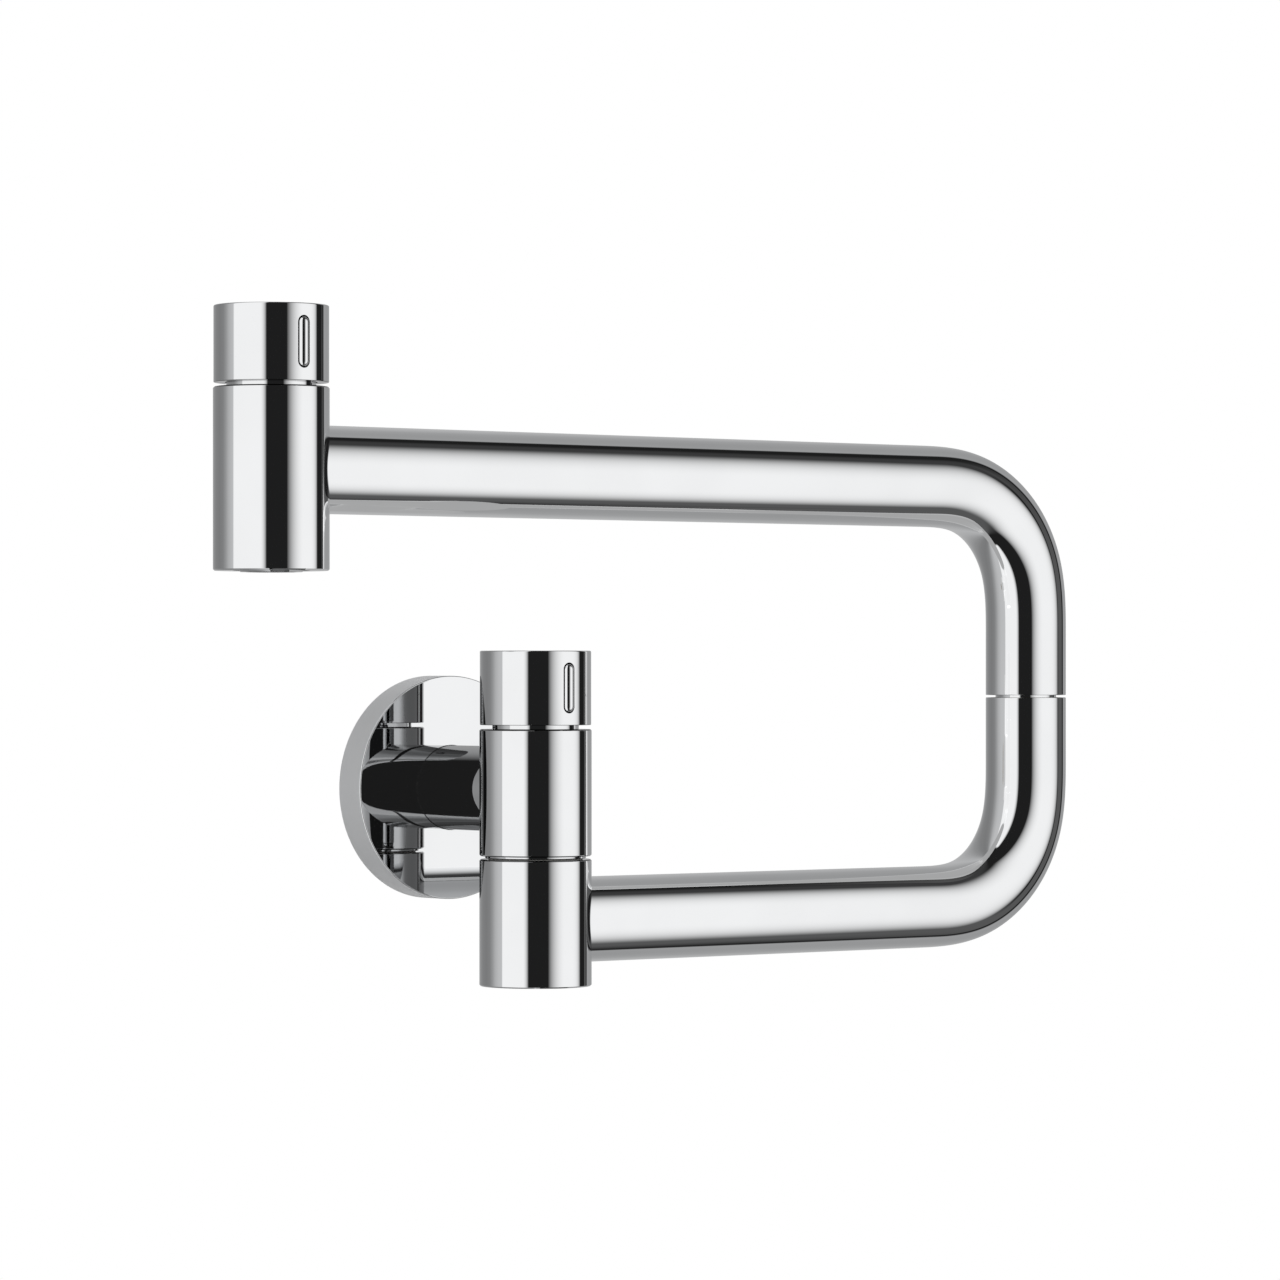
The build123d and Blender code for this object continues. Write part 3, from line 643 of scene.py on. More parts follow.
def bent_pipe_tree():
    """Round pipe along a path, with one end coped to a round body."""
    inputs = [
        ("Path", "Geometry"),
        ("Pipe radius", "Float"),
        ("Sides", "Int"),
        ("Body centre", "Vector"),
        ("Body radius", "Float"),
        ("Way out of the body", "Vector"),
        ("Material", "Material"),
    ]
    tree, given, taken = new_tree("bent_pipe", "GeometryNodeTree", inputs, GEOMETRY_OUT)
    line = add_node(tree, "GeometryNodeMeshToCurve", {"Mesh": given["Path"]})
    circle = {"Resolution": given["Sides"], "Radius": given["Pipe radius"]}
    section = add_node(tree, "GeometryNodeCurvePrimitiveCircle", circle)
    swept = {"Curve": line.outputs["Curve"], "Profile Curve": section.outputs["Curve"]}
    pipe = add_node(tree, "GeometryNodeCurveToMesh", swept)

    place = tree.nodes.new("GeometryNodeInputPosition").outputs["Position"]
    from_body = vector(tree, "SUBTRACT", place, given["Body centre"])
    along = vector(tree, "DOT_PRODUCT", from_body, given["Way out of the body"])
    aside_way = vector(tree, "CROSS_PRODUCT", given["Way out of the body"], (0.0, 0.0, 1.0))
    aside = vector(tree, "DOT_PRODUCT", from_body, aside_way)
    body_square = times(tree, given["Body radius"], given["Body radius"])
    aside_square = times(tree, aside, aside)
    surface = number(tree, "SQRT", number(tree, "SUBTRACT", body_square, aside_square))
    sunk = number(tree, "MAXIMUM", number(tree, "SUBTRACT", surface, along), 0.0)
    offset = vector(tree, "SCALE", given["Way out of the body"], scale=sunk)
    coped = {"Geometry": pipe.outputs["Mesh"], "Offset": offset}
    cope = add_node(tree, "GeometryNodeSetPosition", coped)
    end_tree(tree, cope.outputs["Geometry"], given, taken)
    return tree


def screw_thread_tree():
    """Cuts a rounded right-hand thread into a turned piece that lies along Y."""
    inputs = [
        ("Turned piece", "Geometry"),
        ("Thread radius", "Float"),
        ("Pitch", "Float"),
        ("Depth", "Float"),
        ("Start", "Float"),
        ("Run out", "Float"),
        ("Material", "Material"),
    ]
    tree, given, taken = new_tree("screw_thread", "GeometryNodeTree", inputs, GEOMETRY_OUT)
    place = tree.nodes.new("GeometryNodeInputPosition").outputs["Position"]
    x, y, z = split(tree, place)
    spoke = vector(tree, "MULTIPLY", place, (1.0, 0.0, 1.0))
    radius = vector(tree, "LENGTH", spoke)
    turns = number(tree, "DIVIDE", number(tree, "ARCTAN2", x, z), 2 * math.pi)
    phase = number(tree, "SUBTRACT", number(tree, "DIVIDE", y, given["Pitch"]), turns)
    swing = number(tree, "COSINE", times(tree, phase, 2 * math.pi))
    wave = ease(tree, swing, 1.0, -1.0, smooth=False)
    start_end = number(tree, "ADD", given["Start"], given["Run out"])
    cut = times(tree, wave, ease(tree, y, given["Start"], start_end), given["Depth"])
    flank = number(tree, "SUBTRACT", given["Thread radius"], cut)
    inward = number(tree, "SUBTRACT", number(tree, "MINIMUM", radius, flank), radius)
    least = times(tree, given["Thread radius"], THREADED_SHARE)
    outside = number(tree, "GREATER_THAN", radius, least)
    threaded = times(tree, outside, number(tree, "GREATER_THAN", y, given["Start"]))
    offset = vector(tree, "SCALE", vector(tree, "NORMALIZE", spoke), scale=inward)
    moved = {"Geometry": given["Turned piece"], "Selection": threaded, "Offset": offset}
    shift = add_node(tree, "GeometryNodeSetPosition", moved)
    end_tree(tree, shift.outputs["Geometry"], given, taken)
    return tree


def add_tree(piece, tree, values):
    """Geometry Nodes modifier with its inputs set by identifier."""
    modifier = piece.modifiers.new(tree.name, "NODES")
    modifier.node_group = tree
    for item in tree.interface.items_tree:
        if item.in_out == "INPUT" and item.name in values:
            modifier[item.identifier] = values[item.name]


def plain_mesh(piece):
    """Turns a piece with modifiers into a plain mesh."""
    piece.update_tag()
    graph = bpy.context.evaluated_depsgraph_get()
    mesh = bpy.data.meshes.new_from_object(piece.evaluated_get(graph))
    piece.modifiers.clear()
    piece.data = mesh


def eased_bend(corner, run_in, run_out):
    """Centre points of a bend that eases in and out; both runs point away from the corner."""
    length = BEND_EASE + math.pi / 2 * BEND_TIGHTEST
    step = length / BEND_STEPS
    spots = [Vector((0, 0))]
    heading = 0.0
    for k in range(BEND_STEPS):
        middle = (k + 0.5) * step
        half_turn = min(middle, length - middle, BEND_EASE) / (BEND_EASE * BEND_TIGHTEST) * step / 2
        heading += half_turn
        spots.append(spots[-1] + Vector((math.cos(heading), math.sin(heading))) * step)
        heading += half_turn
    reach = spots[-1].x
    return [corner + run_in * (reach - along) + run_out * aside for along, aside in spots]


def spokes(points, path):
    """Vectors from a path to the points round it, square to the path."""
    near = KDTree(len(path))
    for i, spot in enumerate(path):
        near.insert(spot, i)
    near.balance()
    found = []
    for point in points:
        i = near.find(point)[1]
        ahead = (path[min(i + 1, len(path) - 1)] - path[max(i - 1, 0)]).normalized()
        away = point - path[i]
        found.append(away - ahead * away.dot(ahead))
    return found


def arm_pipe(name, tree, finish, node, body, rises):
    """Bent tube of one arm, from its round body along the arm and then up or down to the elbow."""
    low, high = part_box(node)
    height, end = (low.z + pipe_radius, high.z) if rises else (high.z - pipe_radius, low.z)
    corner = Vector((elbow_axis.x, elbow_axis.y, height))
    run_in = Vector((-1, 0, 0))
    run_out = Vector((0, 0, 1 if rises else -1))
    start = Vector((body.x + PIPE_START, body.y, height))
    path = [start, *eased_bend(corner, run_in, run_out), Vector((corner.x, corner.y, end))]
    piece = new_piece(name, path, [], edges=[(i, i + 1) for i in range(len(path) - 1)])
    values = {
        "Pipe radius": pipe_radius,
        "Sides": PIPE_SIDES,
        "Body centre": (body.x, body.y, height),
        "Body radius": body.radius - PIPE_SUNK,
        "Way out of the body": (1.0, 0.0, 0.0),
        "Material": finish,
    }
    add_tree(piece, tree, values)
    wall = piece.modifiers.new("pipe_wall", "SOLIDIFY")
    wall.thickness = PIPE_WALL
    wall.offset = -1.0
    rim = piece.modifiers.new("pipe_rim", "BEVEL")
    rim.width = PIPE_END_ROUND
    rim.segments = PIPE_RIM_STEPS
    rim.limit_method = "ANGLE"
    rim.angle_limit = SHARP_ANGLE
    plain_mesh(piece)
    ways = []
    points = [vertex.co for vertex in piece.data.vertices]
    for spoke, normal in zip(spokes(points, path), piece.data.vertex_normals):
        if abs(spoke.length - pipe_radius) < ON_WALL:
            ways.append(spoke.normalized())
        elif abs(spoke.length - pipe_radius + PIPE_WALL) < ON_WALL:
            ways.append(-spoke.normalized())
        else:
            ways.append(normal.vector)
    piece.data.normals_split_custom_set_from_vertices(ways)
    return piece


def nipple_piece(tree, finish):
    """Threaded inlet nipple with its collar, grooves and hexagon key bore."""
    nipple = along_inlet("inlet_nipple")
    ring = along_inlet("nipple_o_ring")
    screw_low, screw_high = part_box("stem_screw")
    flat = KEY_BORE_CORNER * math.cos(KEY_SIDE / 2)
    ring_floor = SPIGOT_RADIUS - RING_SECTION - SEAT_FIT
    bite = SPIGOT_RADIUS - SCREW_GROOVE
    thread_end = nipple.high - THREAD_LEAD
    rows = round(thread_end / THREAD_PITCH * THREAD_ROWS_PER_TURN)
    corners = [
        (flat, nipple.low),
        (SPIGOT_RADIUS, nipple.low, EDGE_ROUND),
        *groove(SPIGOT_RADIUS, ring_floor, ring.low - GROOVE_SIDE, ring.high + GROOVE_SIDE),
        *groove(SPIGOT_RADIUS, bite, screw_low.y - SEAT_FIT, screw_high.y + SEAT_FIT),
        (SPIGOT_RADIUS, -COLLAR_LENGTH),
        (nipple.radius, -COLLAR_LENGTH),
        (nipple.radius, 0.0),
        (THREAD_RADIUS, 0.0),
    ]
    corners += [(THREAD_RADIUS, thread_end * k / rows, 0.0) for k in range(1, rows + 1)]
    lead_rows = round(THREAD_LEAD / THREAD_PITCH * THREAD_ROWS_PER_TURN)
    for k in range(1, lead_rows + 1):
        step = THREAD_LEAD * k / lead_rows
        corners.append((THREAD_RADIUS - step, thread_end + step, 0.0))
    corners.append((flat, nipple.high))
    piece = lathe("threaded_inlet_nipple", corners, INTO_WALL, keep_normals=False)
    for vertex in piece.data.vertices:
        spoke = math.hypot(vertex.co.x, vertex.co.z)
        if spoke < flat + 2 * INNER_ROUND:
            turn = math.atan2(vertex.co.z, vertex.co.x) % KEY_SIDE - KEY_SIDE / 2
            vertex.co.x /= math.cos(turn)
            vertex.co.z /= math.cos(turn)
    values = {
        "Thread radius": THREAD_RADIUS,
        "Pitch": THREAD_PITCH,
        "Depth": THREAD_DEPTH,
        "Start": 2 * INNER_ROUND,
        "Run out": THREAD_RUN_OUT,
        "Material": finish,
    }
    add_tree(piece, tree, values)
    plain_mesh(piece)
    piece.data.set_sharp_from_angle(angle=SHARP_ANGLE)
    return piece


# Finishes

PATCH_DETAIL = 3.0
PATCH_SPREAD = (0.3, 0.7)
MARK_DETAIL = 2.0
GRAIN_DETAIL = 4.0
# Tone of the painted dark line on broken edges, and the share of its width that is fully dark
EDGE_PAINTED_TONE = 0.15
EDGE_CORE = 0.8
RIM_ROUGHNESS = 0.5
RIM_METALLIC = 0.8
# Painted shade down in a handle's pocket: the depth over which it darkens, its tone, and the pocket's
# extra roughness
POCKET_SHADE_DEPTH = 0.25 * MM
POCKET_PAINTED_SHADE = 0.05
POCKET_ROUGHNESS = 0.3

# Distances at which pieces mirror each other as painted plain glows, the tones of those glows, painted
# shade on pieces seen in mirrors, and a faint painted glow on the stem
FAR_MIRROR = 54.0 * MM
BEND_MIRROR = 25.0 * MM
UNDER_ARM = 150.0 * MM
ELBOW_MIRROR = 160.0 * MM
ELBOW_SPAN = (elbow_axis.x / 3, elbow_axis.x / 2)
FAINT_GLOW = 0.4
PAINTED_PANEL_GLOW = 0.97
PAINTED_ARM_GLOW = 0.42
PAINTED_ROOM_GLOW = 0.57
MIRRORED_FLANGE_PAINTED_SHADE = 0.35
TWICE_MIRRORED_PAINTED_SHADE = 0.6
MIRRORED_STEM_PAINTED_SHADE = 0.35
STEM_PAINTED_GLOW = 0.007
MIRRORED_BACK_PAINTED_SHADE = 0.3
BACK_BLUR = 1.5 * MM

# Place of the white strip on the elbow, and the angle at which it sees the left softbox end, which set
# the painted glow tone of pieces in the elbow's mirror
ELBOW_STRIP_LEFT = 12.5 * MM
ELBOW_STRIP_FRONT = 4.4 * MM
PANEL_EDGE = math.radians(13.5)
PANEL_BLUR = math.radians(0.2)


def variation_group():
    """Slow change of tone and gloss over a surface."""
    inputs = [
        ("Place", "Vector"),
        ("Patches per metre", "Float"),
        ("Light tone", "Color"),
        ("Dark tone", "Color"),
        ("Least roughness", "Float"),
        ("Most roughness", "Float"),
    ]
    outputs = [("Tone", "Color"), ("Roughness", "Float")]
    tree, given, taken = new_tree("finish_variation", "ShaderNodeTree", inputs, outputs)
    spread = {"Vector": given["Place"], "Scale": given["Patches per metre"], "Detail": PATCH_DETAIL}
    patches = add_node(tree, "ShaderNodeTexNoise", spread)
    share = ease(tree, patches.outputs["Fac"], *PATCH_SPREAD)
    tone = tree.nodes.new("ShaderNodeMix")
    tone.data_type = "RGBA"
    feed(tone.inputs["Factor"], share)
    feed(tone.inputs["A"], given["Light tone"])
    feed(tone.inputs["B"], given["Dark tone"])
    feed(taken["Tone"], tone.outputs["Result"])
    gloss = ease(tree, share, 0.0, 1.0, given["Least roughness"], given["Most roughness"], smooth=False)
    feed(taken["Roughness"], gloss)
    return tree


def turning_marks_group():
    """Fine rings that a lathe tool leaves along an axis."""
    inputs = [("Place", "Vector"), ("Axis", "Vector"), ("Marks per metre", "Float")]
    outputs = [("Height", "Float")]
    tree, given, taken = new_tree("turning_marks", "ShaderNodeTree", inputs, outputs)
    rings = tree.nodes.new("ShaderNodeTexNoise")
    rings.noise_dimensions = "1D"
    rings.inputs["Detail"].default_value = MARK_DETAIL
    rings.inputs["Scale"].default_value = 1.0
    along = vector(tree, "DOT_PRODUCT", given["Place"], given["Axis"])
    feed(rings.inputs["W"], times(tree, along, given["Marks per metre"]))
    feed(taken["Height"], rings.outputs["Fac"])
    return tree


def moulded_grain_group():
    """Fine even grain of moulded, lapped or drawn surfaces."""
    inputs = [("Place", "Vector"), ("Grains per metre", "Float")]
    outputs = [("Height", "Float")]
    tree, given, taken = new_tree("moulded_grain", "ShaderNodeTree", inputs, outputs)
    spread = {"Vector": given["Place"], "Scale": given["Grains per metre"], "Detail": GRAIN_DETAIL}
    grain = add_node(tree, "ShaderNodeTexNoise", spread)
    feed(taken["Height"], grain.outputs["Fac"])
    return tree


variation = variation_group()
turning_marks = turning_marks_group()
moulded_grain = moulded_grain_group()


def place_on_object(tree):
    """Object coordinates of a surface."""
    return tree.nodes.new("ShaderNodeTexCoord").outputs["Object"]


def light_path(tree):
    """Facts about the ray that meets a surface."""
    return tree.nodes.new("ShaderNodeLightPath").outputs


def place_group(tree, group, values):
    """Shader group in a material, on Object coordinates, with its own values."""
    node = tree.nodes.new("ShaderNodeGroup")
    node.node_tree = group
    feed(node.inputs["Place"], place_on_object(tree))
    for name, value in values.items():
        node.inputs[name].default_value = value
    return node.outputs


def new_material(name):
    """Material with nodes, and its Principled shader."""
    material = bpy.data.materials.new(name)
    material.use_nodes = True
    return material, material.node_tree.nodes["Principled BSDF"]


def new_finish(name, metallic, light, dark, gloss, patches):
    """Principled material whose tone and gloss change slowly over the surface."""
    material, shader = new_material(name)
    shader.inputs["Metallic"].default_value = metallic
    values = {
        "Patches per metre": patches,
        "Light tone": (*light, 1.0),
        "Dark tone": (*dark, 1.0),
        "Least roughness": gloss[0],
        "Most roughness": gloss[1],
    }
    made = place_group(material.node_tree, variation, values)
    feed(shader.inputs["Base Color"], made["Tone"])
    feed(shader.inputs["Roughness"], made["Roughness"])
    return material


def add_relief(material, group, values, depth, strength):
    """Bump of a finish, from a group that puts out a height."""
    tree = material.node_tree
    height = place_group(tree, group, values)["Height"]
    relief = {"Strength": strength, "Distance": depth, "Height": height}
    bump = add_node(tree, "ShaderNodeBump", relief)
    feed(tree.nodes["Principled BSDF"].inputs["Normal"], bump.outputs["Normal"])
    return material


def add_grain(material, grains, depth, strength):
    """Bump of a finish, from a fine even grain."""
    return add_relief(material, moulded_grain, {"Grains per metre": grains}, depth, strength)


def turned_brass(name, axis):
    """Unplated brass with tool marks square to its axis."""
    light, dark = (0.80, 0.62, 0.32), (0.66, 0.48, 0.22)
    brass = new_finish(name, 1.0, light, dark, gloss=(0.22, 0.34), patches=120.0)
    marks = {"Axis": axis, "Marks per metre": 9000.0}
    return add_relief(brass, turning_marks, marks, depth=0.02 * MM, strength=0.35)


def spring_steel():
    """Bright stainless steel with a faint grain."""
    light, dark = (0.62, 0.62, 0.63), (0.50, 0.51, 0.52)
    steel = new_finish("bright_spring_steel", 1.0, light, dark, gloss=(0.18, 0.32), patches=300.0)
    return add_grain(steel, grains=6000.0, depth=0.01 * MM, strength=0.2)


def seal_rubber():
    """Black rubber of the seals."""
    light, dark = (0.030, 0.030, 0.031), (0.018, 0.018, 0.019)
    rubber = new_finish("black_seal_rubber", 0.0, light, dark, gloss=(0.45, 0.62), patches=220.0)
    return add_grain(rubber, grains=9000.0, depth=0.03 * MM, strength=0.4)


def bearing_plastic():
    """White plastic of the hub's bush, the glide ring and the handle adapters."""
    light, dark = (0.86, 0.86, 0.83), (0.80, 0.79, 0.75)
    plastic = new_finish("white_bearing_plastic", 0.0, light, dark, gloss=(0.36, 0.48), patches=150.0)
    return add_grain(plastic, grains=5000.0, depth=0.02 * MM, strength=0.3)


def jet_plastic():
    """Grey plastic of the aerator's jets."""
    light, dark = (0.44, 0.45, 0.47), (0.37, 0.38, 0.40)
    plastic = new_finish("grey_jet_plastic", 0.0, light, dark, gloss=(0.38, 0.52), patches=180.0)
    return add_grain(plastic, grains=5000.0, depth=0.02 * MM, strength=0.3)


def lapped_ceramic():
    """Fine lapped ceramic of the valve discs."""
    light, dark = (0.90, 0.89, 0.86), (0.84, 0.83, 0.79)
    ceramic = new_finish("lapped_ceramic", 0.0, light, dark, gloss=(0.10, 0.22), patches=160.0)
    return add_grain(ceramic, grains=12000.0, depth=0.005 * MM, strength=0.2)


# Chrome, in whose mirrors the filler's own pieces show mostly as painted plain glows and painted shade
# rather than images


def chrome_plate(name):
    """Mirror-bright chrome."""
    light, dark = (0.885, 0.892, 0.90), (0.865, 0.872, 0.88)
    return new_finish(name, 1.0, light, dark, gloss=(0.012, 0.03), patches=40.0)


def shade(material, tone_share, more_roughness=0.0):
    """Scales a finish's tone by a share and roughens it."""
    tree = material.node_tree
    shader = tree.nodes["Principled BSDF"]
    tone = shader.inputs["Base Color"].links[0].from_socket
    gloss = shader.inputs["Roughness"].links[0].from_socket
    feed(shader.inputs["Base Color"], vector(tree, "SCALE", tone, scale=tone_share))
    feed(shader.inputs["Roughness"], number(tree, "ADD", gloss, more_roughness))


def dimmed(tree, share, tone):
    """One where the share is nothing, down to the tone where it is whole."""
    return ease(tree, share, 0.0, 1.0, 1.0, tone, smooth=False)


def tone_from_elbow(tree, along, depth, level):
    """Painted glow tone of a place in the elbow's mirror: before the left softbox, or beside it."""
    to_left = number(tree, "SUBTRACT", elbow_axis.x - ELBOW_STRIP_LEFT, along)
    to_wall = number(tree, "SUBTRACT", depth, elbow_axis.y - ELBOW_STRIP_FRONT)
    sight = number(tree, "ARCTAN2", to_wall, to_left)
    return ease(tree, sight, PANEL_EDGE - PANEL_BLUR, PANEL_EDGE + PANEL_BLUR, level, PAINTED_ROOM_GLOW)


def paint_glow_from_afar(material, level, top=math.inf):
    """Paints a plain glow in place of a piece's image in the mirrors of pieces far from it, sooner by
    the elbow and on its top.
    """
    tree = material.node_tree
    shader = tree.nodes["Principled BSDF"]
    along, depth, height = split(tree, place_on_object(tree))
    rays = light_path(tree)
    length = rays["Ray Length"]
    reach = ease(tree, along, *ELBOW_SPAN, FAR_MIRROR, BEND_MIRROR, smooth=False)
    far = number(tree, "GREATER_THAN", length, reach)
    if top < math.inf:
        on_top = number(tree, "GREATER_THAN", height, top - EDGE_ROUND)
        far = number(tree, "MAXIMUM", far, on_top)
    share = times(tree, rays["Is Glossy Ray"], far)
    # In far mirrors the base colour goes to black and an emission of the plain tone stands in: a
    # painted reflection.
    shade(material, number(tree, "SUBTRACT", 1.0, share))
    from_elbow = tone_from_elbow(tree, along, depth, level)
    tone = ease(tree, length, UNDER_ARM, ELBOW_MIRROR, PAINTED_ARM_GLOW, from_elbow)
    glow = number(tree, "DIVIDE", times(tree, share, tone), FAINT_GLOW)
    feed(shader.inputs["Emission Color"], glow)
    shader.inputs["Emission Strength"].default_value = FAINT_GLOW
    return material


def paint_edge_reflection(material, edges):
    """Painted dark line on broken edges, standing in for the dark room above mirrored there, given as
    (height, width) on the object.
    """
    tree = material.node_tree
    _, _, height = split(tree, place_on_object(tree))
    tone = 1.0
    for edge, width in edges:
        off = number(tree, "ABSOLUTE", number(tree, "SUBTRACT", height, edge))
        clear = ease(tree, off, EDGE_CORE * width, width, EDGE_PAINTED_TONE, 1.0)
        tone = times(tree, clear, tone)
    # The dark bands are painted into the base colour as a reflection of the room above.
    shade(material, tone)
    return material


def paint_shade_on_back(material):
    """Darkens the right of the valve's back with painted shade in the flange's mirror."""
    tree = material.node_tree
    along, depth, _ = split(tree, place_on_object(tree))
    behind = number(tree, "GREATER_THAN", depth, valve_axis.y)
    to_right = ease(tree, along, -BACK_BLUR, BACK_BLUR)
    share = times(tree, light_path(tree)["Is Glossy Ray"], behind, to_right)
    shade(material, dimmed(tree, share, MIRRORED_BACK_PAINTED_SHADE))
    return material


def stem_chrome():
    """Chrome of the stem, darkened by painted shade in the mirrors of other pieces, with a faint
    painted glow all over.
    """
    material = paint_glow_from_afar(chrome_plate("polished_stem_chrome"), PAINTED_PANEL_GLOW)
    tree = material.node_tree
    glow = tree.nodes["Principled BSDF"].inputs["Emission Color"]
    # Painted shade in every mirror, and a faint painted glow added to the emission for all rays.
    shade(material, dimmed(tree, light_path(tree)["Is Glossy Ray"], MIRRORED_STEM_PAINTED_SHADE))
    feed(glow, number(tree, "ADD", glow.links[0].from_socket, STEM_PAINTED_GLOW / FAINT_GLOW))
    return material


def flange_chrome():
    """Chrome of the rosette: a satin rim, and painted shade that dims it where it is seen in the
    mirrors of the pieces before it, with a painted glow in far mirrors.
    """
    material = paint_glow_from_afar(chrome_plate("polished_flange_chrome"), PAINTED_PANEL_GLOW)
    tree = material.node_tree
    edge = along_inlet("wall_flange").radius
    spoke = vector(tree, "MULTIPLY", place_on_object(tree), (1.0, 0.0, 1.0))
    rim = ease(tree, vector(tree, "LENGTH", spoke), edge - SHARP_ROUND, edge - SHARP_ROUND / 2)
    # Painted shade: the tone drops after one mirror, and less after two.
    mirrors = light_path(tree)["Glossy Depth"]
    once = dimmed(tree, mirrors, MIRRORED_FLANGE_PAINTED_SHADE)
    tone = ease(tree, mirrors, 1.0, 2.0, once, TWICE_MIRRORED_PAINTED_SHADE, smooth=False)
    shade(material, tone, times(tree, rim, RIM_ROUGHNESS))
    satin = dimmed(tree, rim, RIM_METALLIC)
    feed(tree.nodes["Principled BSDF"].inputs["Metallic"], satin)
    return material


def wall_chrome_finish():
    """Chrome of the valve body, the hub and its cap, with a painted glow in far mirrors, painted dark
    lines on their broken edges and painted shade on the valve's back in mirrors.
    """
    body = upright("valve_body", valve_axis)
    hub = upright("lower_hub", valve_axis)
    edges = [(body.high, EDGE_BREAK), (body.low, EDGE_BREAK / 2), (hub.high, EDGE_BREAK)]
    material = paint_glow_from_afar(chrome_plate("polished_wall_chrome"), PAINTED_PANEL_GLOW)
    return paint_shade_on_back(paint_edge_reflection(material, edges))


def arm_chrome_finish():
    """Chrome of the arm tubes, the outlet body and the plated solids that stay, with a painted glow in
    far mirrors and a painted dark line on the outlet body's top edge.
    """
    body = upright("outlet_body", outlet_axis)
    material = paint_glow_from_afar(chrome_plate("polished_arm_chrome"), PAINTED_PANEL_GLOW)
    return paint_edge_reflection(material, [(body.high, EDGE_BREAK)])


def handle_chrome(valve, axis, painted_glow_level):
    """Chrome of a handle, rougher and darkened by painted shade down in its pocket, with a painted glow
    in far mirrors and a painted dark line on its foot edge.
    """
    shell = upright(f"{valve}_handle", axis)
    chrome = chrome_plate(f"polished_{valve}_handle_chrome")
    material = paint_glow_from_afar(chrome, painted_glow_level, shell.high)
    tree = material.node_tree
    # Painted shade: the base colour darkens below the handle's round face, down in the pocket and on
    # the grip bar's sunken part.
    middle = (axis.x, axis.y, (shell.low + shell.high) / 2)
    from_middle = vector(tree, "SUBTRACT", place_on_object(tree), middle)
    spoke = vector(tree, "LENGTH", vector(tree, "MULTIPLY", from_middle, (1.0, 1.0, 0.0)))
    sunk = ease(tree, spoke, shell.radius - POCKET_RIM, shell.radius - POCKET_SHADE_DEPTH)
    rise = number(tree, "ABSOLUTE", split(tree, from_middle)[2])
    inside = number(tree, "LESS_THAN", rise, (shell.high - shell.low) / 2 - 2 * EDGE_ROUND)
    share = times(tree, sunk, inside)
    shade(material, dimmed(tree, share, POCKET_PAINTED_SHADE), times(tree, share, POCKET_ROUGHNESS))
    return paint_edge_reflection(material, [(shell.low, HANDLE_FOOT_BREAK)])


wall_chrome = wall_chrome_finish()
arm_chrome = arm_chrome_finish()
inlet_brass = turned_brass("turned_inlet_brass", (0.0, 1.0, 0.0))
finish_of_slot = {
    "polished_chrome": arm_chrome,
    "bare_brass": turned_brass("turned_brass", (0.0, 0.0, 1.0)),
    "spring_steel": spring_steel(),
    "black_rubber": seal_rubber(),
    "bearing_plastic": bearing_plastic(),
    "jet_plastic": jet_plastic(),
    "disc_ceramic": lapped_ceramic(),
}


# The object: finished pieces in place of the solids that show, and finishes on the solids that stay


def paint_solid(node, finish):
    """Gives a solid its finish."""
    for material_slot in frame["nodes"][node].material_slots:
        material_slot.material = finish


def fit(piece, node, finish):
    """Gives a finished piece its finish and body, in place of its solid."""
    piece.data.materials.clear()
    piece.data.materials.append(finish)
    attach(piece, node_body[node])
    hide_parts(node)


for node in frame["nodes"]:
    paint_solid(node, finish_of_slot[node_slot[node]])
paint_solid("connecting_stem", stem_chrome())

pipe_tree = bent_pipe_tree()
for arm, body, rises in (
    ("lower", upright("lower_hub", valve_axis), True),
    ("upper", upright("outlet_body", outlet_axis), False),
):
    node = f"{arm}_arm_tube"
    fit(arm_pipe(f"polished_{arm}_pipe", pipe_tree, arm_chrome, node, body, rises), node, arm_chrome)
fit(nipple_piece(screw_thread_tree(), inlet_brass), "inlet_nipple", inlet_brass)
fit(flange_piece(), "wall_flange", flange_chrome())
fit(valve_body_piece(), "valve_body", wall_chrome)
fit(lower_hub_piece(), "lower_hub", wall_chrome)
fit(hub_cap_piece(), "hub_cap", wall_chrome)
fit(outlet_body_piece(), "outlet_body", arm_chrome)
for valve, axis, painted_glow_level in (
    ("wall", valve_axis, PAINTED_PANEL_GLOW),
    ("outlet", outlet_axis, PAINTED_ARM_GLOW),
):
    neck_chrome = paint_glow_from_afar(chrome_plate(f"polished_{valve}_neck_chrome"), painted_glow_level)
    finish = handle_chrome(valve, axis, painted_glow_level)
    # The wall handle also gets painted shade on its back in the flange's mirror.
    if valve == "wall":
        paint_shade_on_back(finish)
    fit(sleeve_piece(valve, axis), f"{valve}_cartridge_sleeve", neck_chrome)
    fit(handle_piece(valve, axis), f"{valve}_handle", finish)
    fit(grip_piece(valve, axis), f"{valve}_handle_grip", finish)


# Studio: a pale floor, two softboxes and a small card, a dark room in front and a pale one behind

WHITE = (1.0, 1.0, 1.0, 1.0)
ROOM_TINT = (1.0, 1.005, 1.012, 1.0)
AMBIENT = 0.45

# Brightness of the room round the object, by the angle from the camera in degrees, as metal shows it
ROOM = [
    (-180, 0.50),
    (-170, 0.44),
    (-161, 0.36),
    (-153, 0.30),
    (-137, 0.235),
    (-120, 0.215),
    (-107, 0.24),
    (-98, 0.33),
    (-90, 0.46),
    (-80, 0.55),
    (-64, 0.58),
    (-57, 0.014),
    (130.5, 0.014),
    (134, 0.36),
    (145, 0.34),
    (155, 0.34),
    (167, 0.37),
    (175, 0.45),
    (180, 0.50),
]

